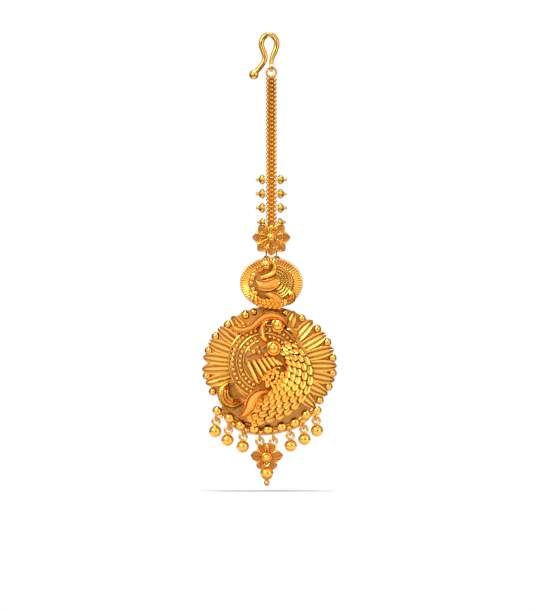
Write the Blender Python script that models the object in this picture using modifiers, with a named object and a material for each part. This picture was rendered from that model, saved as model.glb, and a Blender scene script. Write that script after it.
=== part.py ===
"""A maang tikka: hook, woven chain, flower, small and large peacock medallions, drops.

Metres, +Z up. The front faces -Y. The origin is where the hook rests on the hair:
the inner top of its bend, on the centreline of the chain.
"""

import math

import bmesh
import bpy
from mathutils import Matrix, Vector

MM = 0.001
CLEARANCE = 0.3 * MM  # between pieces that are separate solids

# Hook
HOOK_WIRE = 1.35 * MM
HOOK_WIDTH = 4.06 * MM  # between the centrelines of the bend's two sides
HOOK_DROP = 7.95 * MM  # from the origin down to the eye's centre
HOOK_BALL_RADIUS = 1.22 * MM
EYE_RADIUS = 0.8 * MM
EYE_WIRE = 0.5 * MM
EYE_BREADTH = 1.0 * MM

# Chain
END_RING_RADIUS = 1.25 * MM
END_RING_WIRE = 0.56 * MM
CHAIN_LENGTH = 38.0 * MM
CHAIN_WIDTH = 2.64 * MM
CHAIN_DEPTH = 1.7 * MM
CHAIN_ROWS = 35
CHAIN_VALLEY = 0.8  # size of the weave between two links, as a share of the link
CHAIN_SLANT = 0.3  # how far a link drops for each unit across

# Beads with drawn-out tips beside the chain
SPIKE_LENGTH = 2.45 * MM
SPIKE_RADIUS = 1.22 * MM
SPIKE_PITCH = 3.7 * MM
LAST_SPIKE_ABOVE_FLOWER = 4.0 * MM
LAST_SPIKE_SHARE = 0.88

# Flower
HUB_RADIUS = 2.4 * MM
HUB_TAB = 1.0 * MM
HUB_THICKNESS = 1.7 * MM
FLOWER_PETAL = 4.7 * MM
FLOWER_PETAL_WIDTH = 3.05 * MM
FLOWER_PETAL_HEIGHT = 0.75 * MM
FLOWER_BEAD_RADIUS = 0.93 * MM

# Hinges: edge-on eyelets above, face-on rings below
LINK_RADIUS = 0.68 * MM
LINK_WIRE = 0.4 * MM
RING_RADIUS = 0.9 * MM
PENDANT_GAP = 0.4 * MM  # open space between one pendant and the next
FLOWER_LINK_SPREAD = 1.33 * MM
SMALL_LINK_SPREAD = 2.25 * MM

# Small medallion
SMALL_WIDTH = 16.4 * MM
SMALL_HEIGHT = 13.4 * MM
SMALL_PLATE_SHARE = 0.8
SMALL_RODS = 50
ROD_DEPTH = 0.45 * MM
SMALL_RELIEF_HEIGHT = 1.5 * MM

# Medallions' backs
BACK_Y = 0.92 * MM  # the flat back that rests on the forehead
PLATE_THICKNESS = 1.12 * MM
CORE_THICKNESS = 1.1 * MM
BACKING_THICKNESS = 0.6 * MM

# Main medallion
MAIN_RADIUS = 17.5 * MM
MAIN_SIDESTEP = -0.5 * MM
PLUME_RISE = 1.25 * MM  # from the main plate's top up to the plume's top
MAIN_PLATE_SHARE = 0.76
PETAL_LENGTH = 8.4 * MM
PETAL_WIDTH = 3.3 * MM
PETAL_TUCK = 1.1 * MM  # length of a petal that lies under the core's edge
RIM_BEAD_RADIUS = 0.88 * MM
ARC_BEAD_RADIUS = 1.36 * MM
ARC_WIRE = 0.9 * MM
FILIGREE_WIRE = 0.45 * MM
RELIEF_HEIGHT = 1.5 * MM
FIELD_SHARE = 0.3  # height of the low field round the bird, in relief heights
HEAD_BALL_SHARE = 0.08  # radii of the bird's two balls, in main radii
THROAT_BALL_SHARE = 0.0857

# Drops
DROP_BEAD_RADIUS = 1.55 * MM
DROP_RING_RADIUS = 0.9 * MM
DROP_RING_WIRE = 0.5 * MM
DROP_LINK_RADIUS = 0.72 * MM

# Flower drop
DROP_FLOWER_RADIUS = 3.9 * MM
DROP_FLOWER_BEAD_RADIUS = 1.12 * MM
LOW_BEAD_RADIUS = 1.67 * MM
END_BEAD_RADIUS = 0.74 * MM
DROP_LINK_SPREAD = 0.4555  # from its middle to each ring, in drop flower radii
DROP_RING_REST = 0.831  # from its centre up to the rings' lowest points, in the same radii

# How finely things are faceted
BEAD_SIDES = 10
BEAD_BANDS = 5
LINK_SIDES = 10
WIRE_SIDES = 5

# Heights worked out from the sizes above, all on the chain's centreline
CHAIN_TOP_Z = -HOOK_DROP - 2 * END_RING_RADIUS
CHAIN_END_Z = CHAIN_TOP_Z - CHAIN_LENGTH
FLOWER_Z = CHAIN_END_Z - CLEARANCE - HUB_TAB - HUB_RADIUS
FIRST_HINGE_Z = FLOWER_Z - FLOWER_PETAL - PENDANT_GAP / 2
SMALL_Z = FIRST_HINGE_Z - PENDANT_GAP / 2 - SMALL_HEIGHT / 2
SECOND_HINGE_Z = SMALL_Z - SMALL_HEIGHT / 2 - PENDANT_GAP / 2
MAIN_TOP = MAIN_PLATE_SHARE * MAIN_RADIUS + PLUME_RISE
MAIN_Z = SECOND_HINGE_Z - PENDANT_GAP / 2 - MAIN_TOP
CORE_RADIUS = MAIN_RADIUS - PETAL_LENGTH + PETAL_TUCK
PLATE_FRONT_Y = BACK_Y - PLATE_THICKNESS
BACKING_FRONT_Y = PLATE_FRONT_Y - BACKING_THICKNESS
LINK_FRONT_Y = -LINK_RADIUS - LINK_WIRE / 2
ROD_BACK_Y = LINK_FRONT_Y - CLEARANCE
ROD_FRONT_Y = ROD_BACK_Y - ROD_DEPTH
SMALL_SEAT_Y = ROD_FRONT_Y - CLEARANCE  # where the bird sits on the small medallion
CORE_FRONT_Y = PLATE_FRONT_Y - CORE_THICKNESS
SEAT_Y = CORE_FRONT_Y - CLEARANCE  # where the bird sits on the main medallion

# Centreline of the hook from ball to eye: (across, down) in hook widths and drops
HOOK_ROUTE = (
    (-1.12, 1.23),
    (-0.90, 1.09),
    (-0.62, 0.92),
    (-0.43, 0.74),
    (-0.42, 0.60),
    (-0.53, 0.44),
    (-0.65, 0.24),
    (-0.56, 0.06),
    (-0.36, -0.05),
    (-0.14, -0.08),
    (0.11, -0.03),
    (0.30, 0.09),
    (0.35, 0.22),
    (0.29, 0.38),
    (0.13, 0.58),
    (0.02, 0.75),
    (0.0, 0.92),
)
HOOK_SECTIONS = 26  # straight runs of wire from ball to eye

# Turned profile of a spike bead: (along, radius) in its length and radius
SPIKE_PROFILE = (
    (0.0, 0.62),
    (0.2, 1.0),
    (0.42, 0.88),
    (0.7, 0.27),
    (0.86, 0.32),
    (1.0, 0.08),
)

# Cross-sections of relief: (across in half widths, height in heights)
KEELED = ((-1, 0), (1, 0), (0, 1))
CROWNED = ((-1, 0), (1, 0), (0.75, 0.75), (0, 1), (-0.75, 0.75))
TROUGH = ((-1, 0), (1, 0), (0.85, 1), (0.3, 0.6), (-0.3, 0.6), (-0.85, 1))
RIBBED = ((-1, 0), (1, 0), (0.7, 0.7), (0.35, 0.6), (0, 1), (-0.35, 0.6), (-0.7, 0.7))

# Stations along a petal or feather: (along, width, height) in its length, width, height
POINTED = ((0, 0.2, 0.7), (0.35, 0.72, 1), (0.64, 1, 0.9), (1, 0.08, 0.35))
LOBED = ((0, 0.25, 0.6), (0.45, 0.85, 0.8), (0.8, 1, 1), (1, 0.55, 0.8))
LANCEOLATE = ((0, 0.55, 0.9), (0.45, 1, 1), (0.8, 0.6, 0.75), (1, 0.06, 0.3))
TEARDROP = ((0, 0.35, 0.5), (0.6, 1, 1), (1, 0.25, 0.75))
CRESCENT = ((0, 0.12, 0.4), (0.3, 0.85, 0.9), (0.65, 1, 1), (1, 0.4, 0.6))
RIBBON = ((0, 0.3, 0.6), (0.25, 0.9, 1), (0.7, 0.9, 1), (1, 0.2, 0.5))
PLUME = (
    (0, 0.25, 0.5),
    (0.12, 0.7, 0.9),
    (0.32, 1, 1),
    (0.52, 1, 1),
    (0.72, 0.8, 1),
    (0.88, 0.6, 0.9),
    (1, 0.15, 0.6),
)

# Petals of the flower: (degrees from +X, reach, lift), in petal lengths and heights
FLOWER_PETALS = (
    (90, 0.93, 0.0),
    (45, 0.95, 0.2),
    (0, 1.05, 0.05),
    (-45, 1.05, 0.25),
    (-90, 1.0, 0.1),
    (-135, 1.05, 0.3),
    (180, 1.05, 0.08),
    (135, 0.95, 0.22),
)

# Outline of the main plate: (degrees from +X, reach in plate radii)
MAIN_PLATE_OUTLINE = (
    (90, 1.0),
    (45, 1.0),
    (0, 1.0),
    (-38, 1.04),
    (-62, 1.13),
    (-90, 1.18),
    (-118, 1.2),
    (-142, 1.12),
    (180, 1.0),
    (135, 1.0),
)

# Outline of the sheet behind the petals: (degrees from +X, reach in plate radii)
BACKING_OUTLINE = (
    (90, 0.97),
    (73, 1.05),
    (55, 1.1),
    (25, 1.21),
    (-10, 1.24),
    (-40, 1.16),
    (-90, 1.1),
    (-145, 1.17),
    (180, 1.23),
    (150, 1.19),
    (125, 1.1),
    (107, 1.06),
)

# Sunburst petals: (degrees from +X, reach in main radii)
PETALS = (
    (127, 0.93),
    (143, 0.955),
    (158, 0.98),
    (172, 0.995),
    (182.5, 1.0),
    (195, 0.98),
    (66, 0.9),
    (47, 0.935),
    (30, 0.97),
    (15, 0.99),
    (0.5, 1.0),
    (-12, 0.99),
    (-26, 0.96),
    (-42, 0.91),
)

# Beads between the petals' tips: (degrees from +X, reach in main radii, size)
RIM_BEADS = (
    (106, 0.84, 0.95),
    (115, 0.84, 1.2),
    (135, 0.875, 1.0),
    (151, 0.915, 1.0),
    (165.5, 0.93, 1.0),
    (188.5, 0.94, 1.0),
    (204, 0.92, 1.0),
    (74, 0.83, 0.95),
    (56, 0.855, 1.0),
    (38, 0.9, 1.0),
    (22.5, 0.93, 1.0),
    (7.5, 0.945, 1.0),
    (-6, 0.945, 1.0),
    (-19, 0.93, 1.0),
    (-34, 0.9, 1.0),
)

# Bead arc under the medallion: (degrees from +X, reach in main radii, size)
ARC_BEADS = (
    (-139.5, 1.02, 0.9),
    (-127.8, 0.969, 1.0),
    (-116.2, 0.972, 1.0),
    (-103.8, 0.956, 1.0),
    (-91.4, 0.937, 1.0),
    (-78.6, 0.915, 1.0),
    (-65.7, 0.915, 1.0),
    (-52.8, 0.9, 1.0),
    (-43.2, 0.965, 0.88),
)

# Eyelets that the drops hang in: (across, up, lean in degrees), places in main radii
DROPS = (
    (-0.789, -0.772, 5),
    (-0.606, -0.902, 5),
    (-0.389, -0.997, 2),
    (0.309, -0.983, -2),
    (0.509, -0.887, -3),
    (0.691, -0.760, -4),
)

# Middle between the flower drop's two eyelets: (across, up) in main radii
DROP_FLOWER_LINKS_AT = (-0.0407, -1.066)

# Its petals: (degrees from +X, reach and width in drop flower radii)
DROP_PETALS = (
    (110, 0.93, 0.744),
    (70, 0.93, 0.744),
    (172, 1.05, 0.641),
    (8, 1.05, 0.641),
    (-125, 0.86, 0.538),
    (-55, 0.86, 0.538),
)

# Wires of the filigree field: (radius in main radii, first and last degrees)
FILIGREE_CENTRE = (-0.06, 0.065)
FILIGREE_ARCS = ((0.548, 108, 246), (0.43, 112, 250), (0.33, 118, 226))

# Routes of the main relief: (across, up) in main radii from the medallion's centre
PLUME_ROUTE = (
    (-0.50, 0.575),
    (-0.36, 0.58),
    (-0.245, 0.68),
    (-0.10, 0.755),
    (0.06, 0.765),
    (0.17, 0.70),
    (0.245, 0.60),
)
NECK_ROUTE = ((0.02, 0.69), (-0.10, 0.64), (-0.135, 0.545), (-0.11, 0.44), (-0.03, 0.35))
BEAK_ROUTE = ((0.20, 0.575), (0.31, 0.565), (0.385, 0.49), (0.40, 0.40))
WING_RIBBON_ROUTE = ((-0.19, -0.27), (-0.09, -0.13), (0.06, -0.03), (0.23, -0.02))
CURL_ROUTE = (
    (-0.455, -0.19),
    (-0.60, -0.24),
    (-0.665, -0.37),
    (-0.635, -0.50),
    (-0.50, -0.555),
    (-0.37, -0.47),
)
LEAF_ROUTE = ((0.02, -0.36), (-0.15, -0.40), (-0.235, -0.52), (-0.30, -0.66), (-0.44, -0.715))
HEAD_AT = (0.122, 0.608)
THROAT_AT = (0.075, 0.288)
BODY_ROUTE = (
    (0.20, 0.40),
    (0.40, 0.22),
    (0.47, 0.0),
    (0.44, -0.26),
    (0.27, -0.50),
    (0.02, -0.62),
    (-0.20, -0.64),
)
BODY_STATIONS = (
    (0, 0.35, 0.5),
    (0.16, 0.8, 0.9),
    (0.38, 1, 1),
    (0.62, 1, 1),
    (0.82, 0.85, 0.9),
    (1, 0.6, 0.7),
)
BODY_BREADTH = 0.4229  # in main radii

# Relief on the main medallion: (name, route, width in main radii, height in relief
# heights, stations, section)
MAIN_RELIEF = (
    ("plume", PLUME_ROUTE, 0.1429, 1.25, PLUME, TROUGH),
    ("neck", NECK_ROUTE, 0.1314, 1.6, CRESCENT, CROWNED),
    ("beak", BEAK_ROUTE, 0.0914, 1.2, CRESCENT, CROWNED),
    ("ribbon", WING_RIBBON_ROUTE, 0.0457, 1.1, RIBBON, CROWNED),
    ("body", BODY_ROUTE, BODY_BREADTH, 1.0, BODY_STATIONS, CROWNED),
    ("curl", CURL_ROUTE, 0.1943, 1.2, PLUME, RIBBED),
    ("leaf", LEAF_ROUTE, 0.2057, 1.2, PLUME, TROUGH),
)
FEATHER_SIZE = (0.5135, 0.2703)  # length and width in the body's widths
FEATHER_HEIGHT = 0.7 * MM
FEATHER_ROWS = 4
FEATHER_RANKS = 9
WING_BARS = 5
WING_BAR_WIDTH = 1.25 * MM

# Small relief: routes in (half widths, half heights) from the medallion's centre
SMALL_NECK_ROUTE = ((0.0, 0.78), (0.09, 0.62), (0.06, 0.44), (-0.08, 0.26), (-0.33, 0.09))
SMALL_BEAK_ROUTE = ((-0.12, 0.58), (-0.26, 0.46), (-0.40, 0.36))
SMALL_HEAD_AT = (-0.13, 0.65)
SMALL_HEAD_RADIUS = 0.0591 * SMALL_WIDTH
SMALL_BODY_ROUTE = ((-0.48, 0.1), (-0.30, -0.1), (-0.05, -0.12), (0.2, 0.02))
SMALL_TAIL_ROUTE = ((-0.55, 0.2), (-0.68, -0.25), (-0.38, -0.68), (0.05, -0.82), (0.32, -0.86))
SMALL_LEAF_ROUTE = ((0.08, -0.42), (0.22, -0.62), (0.42, -0.86))
SMALL_CURL_ROUTE = ((0.30, -0.42), (0.45, -0.35), (0.62, -0.45), (0.62, -0.66), (0.42, -0.72))

# Relief on the small medallion: the same columns, with widths in its own width
SMALL_RELIEF = (
    ("neck", SMALL_NECK_ROUTE, 0.0915, 1.3, CRESCENT, CROWNED),
    ("beak", SMALL_BEAK_ROUTE, 0.0549, 0.9, CRESCENT, CROWNED),
    ("body", SMALL_BODY_ROUTE, 0.2683, 1.0, RIBBON, CROWNED),
    ("tail", SMALL_TAIL_ROUTE, 0.1585, 0.85, RIBBON, RIBBED),
    ("leaf", SMALL_LEAF_ROUTE, 0.1341, 1.0, RIBBON, TROUGH),
    ("curl", SMALL_CURL_ROUTE, 0.0915, 0.9, RIBBON, CROWNED),
)
SMALL_FAN_AT = (0.16, 0.0)
SMALL_FAN_RADII = (0.2, 0.33, 0.46)  # in half widths
SMALL_FAN_SPAN = (-75, 80)
SMALL_FAN_WIRE = 0.0457 * SMALL_WIDTH


# Placing points
def polar(degrees, reach):
    angle = math.radians(degrees)
    return (reach * math.cos(angle), reach * math.sin(angle))


def scaled(points, across, up):
    return [(x * across, z * up) for x, z in points]


def along(route, t):
    """Point at share t of a smooth curve through the route's points."""
    place = t * (len(route) - 1)
    i = min(int(place), len(route) - 2)
    f = place - i
    before = Vector(route[max(i - 1, 0)])
    start = Vector(route[i])
    end = Vector(route[i + 1])
    after = Vector(route[min(i + 2, len(route) - 1)])
    bend = 2 * before - 5 * start + 4 * end - after
    turn = 3 * start - before - 3 * end + after
    return start + f * 0.5 * ((end - before) + f * (bend + f * turn))


def direction(route, t):
    step = 0.01
    return (along(route, min(t + step, 1)) - along(route, max(t - step, 0))).normalized()


# Shapes, each added to a bmesh
def loft(bm, rings):
    """Solid through closed rings that have the same number of points."""
    rings = [[bm.verts.new(point) for point in ring] for ring in rings]
    count = len(rings[0])
    for low, high in zip(rings, rings[1:]):
        for i in range(count):
            j = (i + 1) % count
            bm.faces.new((low[i], low[j], high[j], high[i]))
    bm.faces.new(reversed(rings[0]))
    bm.faces.new(rings[-1])


def swept(bm, route, width, height, base_y, stations, section):
    """Relief along a route in the XZ plane, standing out from base_y towards -Y."""
    rings = []
    for t, wide, high in stations:
        x, z = along(route, t)
        heading = direction(route, t)
        across = Vector((heading.y, -heading.x)) * (width / 2 * wide)
        rings.append(
            [
                (x + u * across.x, base_y - v * height * high, z + u * across.y)
                for u, v in section
            ]
        )
    loft(bm, rings)


def ball(bm, centre, radius, sides=BEAD_SIDES, bands=BEAD_BANDS):
    place = Matrix.Translation(centre)
    bmesh.ops.create_uvsphere(bm, u_segments=sides, v_segments=bands, radius=radius, matrix=place)


def rod(bm, start, end, radius, sides=WIRE_SIDES + 1):
    start, end = Vector(start), Vector(end)
    turn = (end - start).to_track_quat("Z", "Y").to_matrix().to_4x4()
    place = Matrix.Translation((start + end) / 2) @ turn
    bmesh.ops.create_cone(
        bm,
        cap_ends=True,
        segments=sides,
        radius1=radius,
        radius2=radius,
        depth=(end - start).length,
        matrix=place,
    )


def ring(bm, centre, radius, wire, turn=0.0, rise=0.0, breadth=None, sides=LINK_SIDES):
    """Ring of round wire, face-on at turn 0 and edge-on at 90. Its top is drawn up by rise."""
    bpy.ops.mesh.primitive_torus_add(
        major_segments=sides,
        minor_segments=WIRE_SIDES,
        major_radius=radius,
        minor_radius=wire / 2,
    )
    torus = bpy.context.object
    stretch = Matrix.Diagonal((1, 1, (breadth or wire) / wire, 1))
    stand = Matrix.Rotation(math.radians(90), 4, "X")
    spin = Matrix.Rotation(math.radians(turn), 4, "Z")
    torus.data.transform(stand @ stretch)
    for vert in torus.data.vertices:
        if vert.co.z > radius * 0.3:
            vert.co.z += rise
    torus.data.transform(Matrix.Translation(centre) @ spin)
    take_mesh(bm, torus, torus.data)


def wire(bm, points, thickness, resolution=2):
    """Round wire through points, from a bevelled curve."""
    curve = bpy.data.curves.new("wire", "CURVE")
    curve.dimensions = "3D"
    curve.bevel_depth = thickness / 2
    curve.bevel_resolution = resolution
    curve.use_fill_caps = True
    spline = curve.splines.new("POLY")
    spline.points.add(len(points) - 1)
    for point, place in zip(spline.points, points):
        point.co = (*place, 1)
    take_curve(bm, curve, Matrix.Identity(4))


def plate(bm, outline, back_y, front_y):
    """Flat plate with this outline in the XZ plane, from an extruded curve."""
    curve = bpy.data.curves.new("plate", "CURVE")
    curve.dimensions = "2D"
    curve.fill_mode = "BOTH"
    curve.extrude = abs(back_y - front_y) / 2
    spline = curve.splines.new("POLY")
    spline.use_cyclic_u = True
    spline.points.add(len(outline) - 1)
    for point, (x, z) in zip(spline.points, outline):
        point.co = (x, z, 0, 1)
    stand = Matrix.Rotation(math.radians(90), 4, "X")
    take_curve(bm, curve, Matrix.Translation((0, (back_y + front_y) / 2, 0)) @ stand)


def take_curve(bm, curve, place):
    holder = bpy.data.objects.new("curve", curve)
    bpy.context.scene.collection.objects.link(holder)
    bpy.context.view_layer.update()
    graph = bpy.context.evaluated_depsgraph_get()
    mesh = bpy.data.meshes.new_from_object(holder.evaluated_get(graph))
    mesh.transform(place)
    take_mesh(bm, holder, mesh)
    bpy.data.curves.remove(curve)


def take_mesh(bm, holder, mesh):
    """Adds a mesh to the bmesh, welds it, and removes the object that held it."""
    before = set(bm.verts)
    bm.from_mesh(mesh)
    new = [vert for vert in bm.verts if vert not in before]
    bmesh.ops.remove_doubles(bm, verts=new, dist=0.002 * MM)
    bpy.data.objects.remove(holder)
    bpy.data.meshes.remove(mesh)


def ellipse(width, height, count):
    return [
        (
            width / 2 * math.cos(2 * math.pi * i / count),
            height / 2 * math.sin(2 * math.pi * i / count),
        )
        for i in range(count)
    ]


# Objects and materials
def gold(name, roughness):
    material = bpy.data.materials.new(name + "_gold")
    material.use_nodes = True
    shader = material.node_tree.nodes["Principled BSDF"]
    shader.inputs["Base Color"].default_value = (0.88, 0.52, 0.11, 1)
    shader.inputs["Metallic"].default_value = 1.0
    shader.inputs["Roughness"].default_value = roughness
    return material


def new_object(name, bm, collection, roughness):
    bmesh.ops.recalc_face_normals(bm, faces=bm.faces)
    mesh = bpy.data.meshes.new(name)
    bm.to_mesh(mesh)
    bm.free()
    mesh.shade_smooth()
    mesh.set_sharp_from_angle(angle=math.radians(40))
    mesh.materials.append(gold(name, roughness))
    made = bpy.data.objects.new(name, mesh)
    collection.objects.link(made)
    return made


def new_collection(name, parent):
    made = bpy.data.collections.new(name)
    parent.children.link(made)
    return made


def piece(name, shapes, holder, location=(0, 0, 0), roughness=0.25):
    """One solid: the first shape, with the others joined to it by a Boolean union."""
    (_, first), *others = shapes.items()
    made = new_object(name, first, PARTS, roughness)
    made.parent = holder
    made.location = location
    if others:
        helpers = new_collection(name + "_shapes", JOINED)
        for label, shape in others:
            helper = new_object(f"{name}_{label}", shape, helpers, roughness)
            helper.parent = made
            helper.hide_render = True
            helper.display_type = "WIRE"
        union = made.modifiers.new("Soldered", "BOOLEAN")
        union.operation = "UNION"
        union.operand_type = "COLLECTION"
        union.collection = helpers
        union.solver = "EXACT"
        union.use_self = True
    return made


def shape(build, *arguments):
    bm = bmesh.new()
    build(bm, *arguments)
    return bm


# Hook and chain
def hook_wire(bm):
    route = [(x * HOOK_WIDTH, 0, -z * HOOK_DROP) for x, z in HOOK_ROUTE]
    count = HOOK_SECTIONS
    wire(bm, [along(route, i / count) for i in range(count + 1)], HOOK_WIRE)


def hook_ball(bm):
    across, down = HOOK_ROUTE[0]
    ball(bm, (across * HOOK_WIDTH, 0, -down * HOOK_DROP), HOOK_BALL_RADIUS)


def hook_eye(bm):
    ring(bm, (0, 0, -HOOK_DROP), EYE_RADIUS, EYE_WIRE, 90, 0.0, EYE_BREADTH, 12)


def woven_band(bm):
    """Slanted links as ridges, with a row of round bumps down the middle."""
    half, deep = CHAIN_WIDTH / 2, CHAIN_DEPTH / 2
    around = (
        (-1, 0),
        (-0.72, -0.8),
        (-0.25, -0.7),
        (0.25, -0.7),
        (0.72, -0.8),
        (1, 0),
        (0.72, 0.8),
        (-0.72, 0.8),
    )
    rings = []
    steps = 2 * CHAIN_ROWS
    for i in range(steps + 1):
        z = CHAIN_TOP_Z - CHAIN_LENGTH * i / steps
        size = 1 if i % 2 else CHAIN_VALLEY
        middle = 1.15 if i % 2 else 1.5
        slant = CHAIN_SLANT * min(i, steps - i, 2) / 2
        rings.append(
            [
                (
                    x * half * size,
                    y * deep * size * (middle if abs(x) < 0.5 else 1),
                    z - slant * x * half,
                )
                for x, y in around
            ]
        )
    loft(bm, rings)


def end_ring(bm):
    centre = (0, 0, -HOOK_DROP - END_RING_RADIUS)
    ring(bm, centre, END_RING_RADIUS, END_RING_WIRE, 0, 0.0, None, 12)


def spike_bead(name, side, z, share):
    """Turned bead beside the chain, drawn out to a tip that ends in a small ball."""
    bm = bmesh.new()
    length, radius = SPIKE_LENGTH * share, SPIKE_RADIUS * share
    profile = [(0, 1.0)] + [(r, a) for a, r in reversed(SPIKE_PROFILE)] + [(0, 0.0)]
    verts = [bm.verts.new((r * radius, 0, a * length)) for r, a in profile]
    for low, high in zip(verts, verts[1:]):
        bm.edges.new((low, high))
    made = new_object(name, bm, PARTS, 0.18)
    screw = made.modifiers.new("Turned", "SCREW")
    screw.axis = "Z"
    screw.steps = BEAD_SIDES
    screw.render_steps = BEAD_SIDES
    screw.use_merge_vertices = True
    screw.merge_threshold = 0.005 * MM
    made.location = (side * (CHAIN_WIDTH / 2 + CLEARANCE), 0, z)
    made.rotation_euler = (0, side * math.radians(90), 0)
    return made


def build_root():
    hook = {"wire": shape(hook_wire), "ball": shape(hook_ball), "eye": shape(hook_eye)}
    piece("hook", hook, None, roughness=0.15)
    piece("chain", {"band": shape(woven_band), "end_ring": shape(end_ring)}, None)
    last = FLOWER_Z + LAST_SPIKE_ABOVE_FLOWER
    for row in range(4):
        share = LAST_SPIKE_SHARE if row == 3 else 1
        for label, side in (("left", -1), ("right", 1)):
            z = last + SPIKE_PITCH * (3 - row)
            spike_bead(f"spike_bead_{label}_{row + 1}", side, z, share)
    build_flower()


# Flower
def hub(bm):
    back = HUB_THICKNESS - CHAIN_DEPTH / 2 - 2 * CLEARANCE
    rod(bm, (0, back - HUB_THICKNESS, 0), (0, back, 0), HUB_RADIUS, 12)


def hub_tab(bm):
    """Tongue that the chain's end is soldered to."""
    wide, deep = CHAIN_WIDTH * 0.4, CHAIN_DEPTH * 0.3
    corners = ((-wide, -deep), (wide, -deep), (wide, deep), (-wide, deep))
    heights = (HUB_RADIUS * 0.5, HUB_RADIUS + HUB_TAB)
    loft(bm, [[(x, y, z) for x, y in corners] for z in heights])


def flower_petal(bm, degrees, reach, lift):
    route = (polar(degrees, FLOWER_BEAD_RADIUS * 0.9), polar(degrees, FLOWER_PETAL * reach))
    base = -CHAIN_DEPTH / 2 - CLEARANCE - FLOWER_PETAL_HEIGHT * lift
    swept(bm, route, FLOWER_PETAL_WIDTH, FLOWER_PETAL_HEIGHT, base, POINTED, TROUGH)


def flower_bead(bm):
    y = -CHAIN_DEPTH / 2 - CLEARANCE - FLOWER_PETAL_HEIGHT
    ball(bm, (0, y, 0), FLOWER_BEAD_RADIUS)


def eyelet(bm, x, z, top):
    """Edge-on loop that carries a pendant, drawn up into the piece above."""
    ring(bm, (x, 0, z), LINK_RADIUS, LINK_WIRE, 90, top - z - LINK_RADIUS)


def build_flower():
    shapes = {"hub": shape(hub), "tab": shape(hub_tab), "bead": shape(flower_bead)}
    for i, row in enumerate(FLOWER_PETALS):
        shapes[f"petal_{i + 1}"] = shape(flower_petal, *row)
    z = FIRST_HINGE_Z - FLOWER_Z
    for label, side in (("left", -1), ("right", 1)):
        x = side * FLOWER_LINK_SPREAD
        shapes["eyelet_" + label] = shape(eyelet, x, z, -HUB_RADIUS * 0.6)
    piece("flower_rosette", shapes, None, (0, 0, FLOWER_Z))


# Small medallion
def small_plate(bm):
    size = (SMALL_WIDTH * SMALL_PLATE_SHARE, SMALL_HEIGHT * SMALL_PLATE_SHARE)
    plate(bm, ellipse(*size, 28), BACK_Y, (ROD_BACK_Y + ROD_FRONT_Y) / 2)


def small_rods(bm):
    """Rim of rods, as flutes with round ends."""
    rings = []
    for size, ends, y in (
        (0.92, 0.6, ROD_BACK_Y),
        (1.0, 1.0, ROD_BACK_Y - ROD_DEPTH * 0.5),
        (0.76, 0.0, ROD_FRONT_Y),
    ):
        outline = ellipse(SMALL_WIDTH * size, SMALL_HEIGHT * size, 2 * SMALL_RODS)
        rings.append(
            [
                (x * (1 - 0.07 * ends * (i % 2)), y, z * (1 - 0.07 * ends * (i % 2)))
                for i, (x, z) in enumerate(outline)
            ]
        )
    loft(bm, rings)


def face_ring(bm, x, z):
    """Face-on ring whose top runs through the eyelet above it."""
    ring(bm, (x, 0, z - RING_RADIUS), RING_RADIUS, LINK_WIRE)


def small_route(points):
    return scaled(points, SMALL_WIDTH / 2, SMALL_HEIGHT / 2)


def small_ball(bm):
    x, z = small_route([SMALL_HEAD_AT])[0]
    ball(bm, (x, SMALL_SEAT_Y - SMALL_RELIEF_HEIGHT * 0.6, z), SMALL_HEAD_RADIUS)


def small_mound(bm):
    """Low dome under the whole relief."""
    outline = ellipse(SMALL_WIDTH, SMALL_HEIGHT, 20)
    sizes = ((0.66, 0), (0.66, 0.25), (0.45, 0.4))
    rings = [
        [(x * size, SMALL_SEAT_Y - high * SMALL_RELIEF_HEIGHT, z * size) for x, z in outline]
        for size, high in sizes
    ]
    loft(bm, rings)


def small_fan(bm, share):
    first, last = SMALL_FAN_SPAN
    (x, z), radius = small_route([SMALL_FAN_AT])[0], share * SMALL_WIDTH / 2
    route = []
    for i in range(5):
        across, up = polar(first + (last - first) * i / 4, radius)
        route.append((x + across, z + up))
    swept(bm, route, SMALL_FAN_WIRE, SMALL_RELIEF_HEIGHT * 0.75, SMALL_SEAT_Y, RIBBON, CROWNED)


def build_small(holder):
    location = (0, 0, SMALL_Z - FIRST_HINGE_Z)
    shapes = {"plate": shape(small_plate), "rods": shape(small_rods)}
    for label, side in (("left", -1), ("right", 1)):
        top = FIRST_HINGE_Z - SMALL_Z
        shapes["ring_" + label] = shape(face_ring, side * FLOWER_LINK_SPREAD, top)
        low = SECOND_HINGE_Z - SMALL_Z
        x = side * SMALL_LINK_SPREAD
        shapes["eyelet_" + label] = shape(eyelet, x, low, low * 0.6)
    piece("small_medallion", shapes, holder, location)
    bird = {"mound": shape(small_mound), "head": shape(small_ball)}
    for label, route, width, high, stations, section in SMALL_RELIEF:
        sizes = (width * SMALL_WIDTH, high * SMALL_RELIEF_HEIGHT)
        bird[label] = shape(swept, small_route(route), *sizes, SMALL_SEAT_Y, stations, section)
    for i, share in enumerate(SMALL_FAN_RADII):
        bird[f"fan_{i + 1}"] = shape(small_fan, share)
    piece("small_peacock", bird, holder, location, 0.3)


# Main medallion
def main_route(points):
    return scaled(points, MAIN_RADIUS, MAIN_RADIUS)


def main_outline(table):
    corners = [polar(degrees, reach) for degrees, reach in table]
    closed = corners[-1:] + corners + corners[:2]
    count = 3 * len(corners)
    first, span = 1 / (len(closed) - 1), len(corners) / (len(closed) - 1)
    radius = MAIN_RADIUS * MAIN_PLATE_SHARE
    return [tuple(along(closed, first + span * i / count) * radius) for i in range(count)]


def main_plate(bm):
    front = (PLATE_FRONT_Y + BACKING_FRONT_Y) / 2
    plate(bm, main_outline(MAIN_PLATE_OUTLINE), BACK_Y, front)


def main_backing(bm):
    """Thin sheet that the petals and the rim beads are soldered to."""
    plate(bm, main_outline(BACKING_OUTLINE), PLATE_FRONT_Y, BACKING_FRONT_Y)


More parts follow.
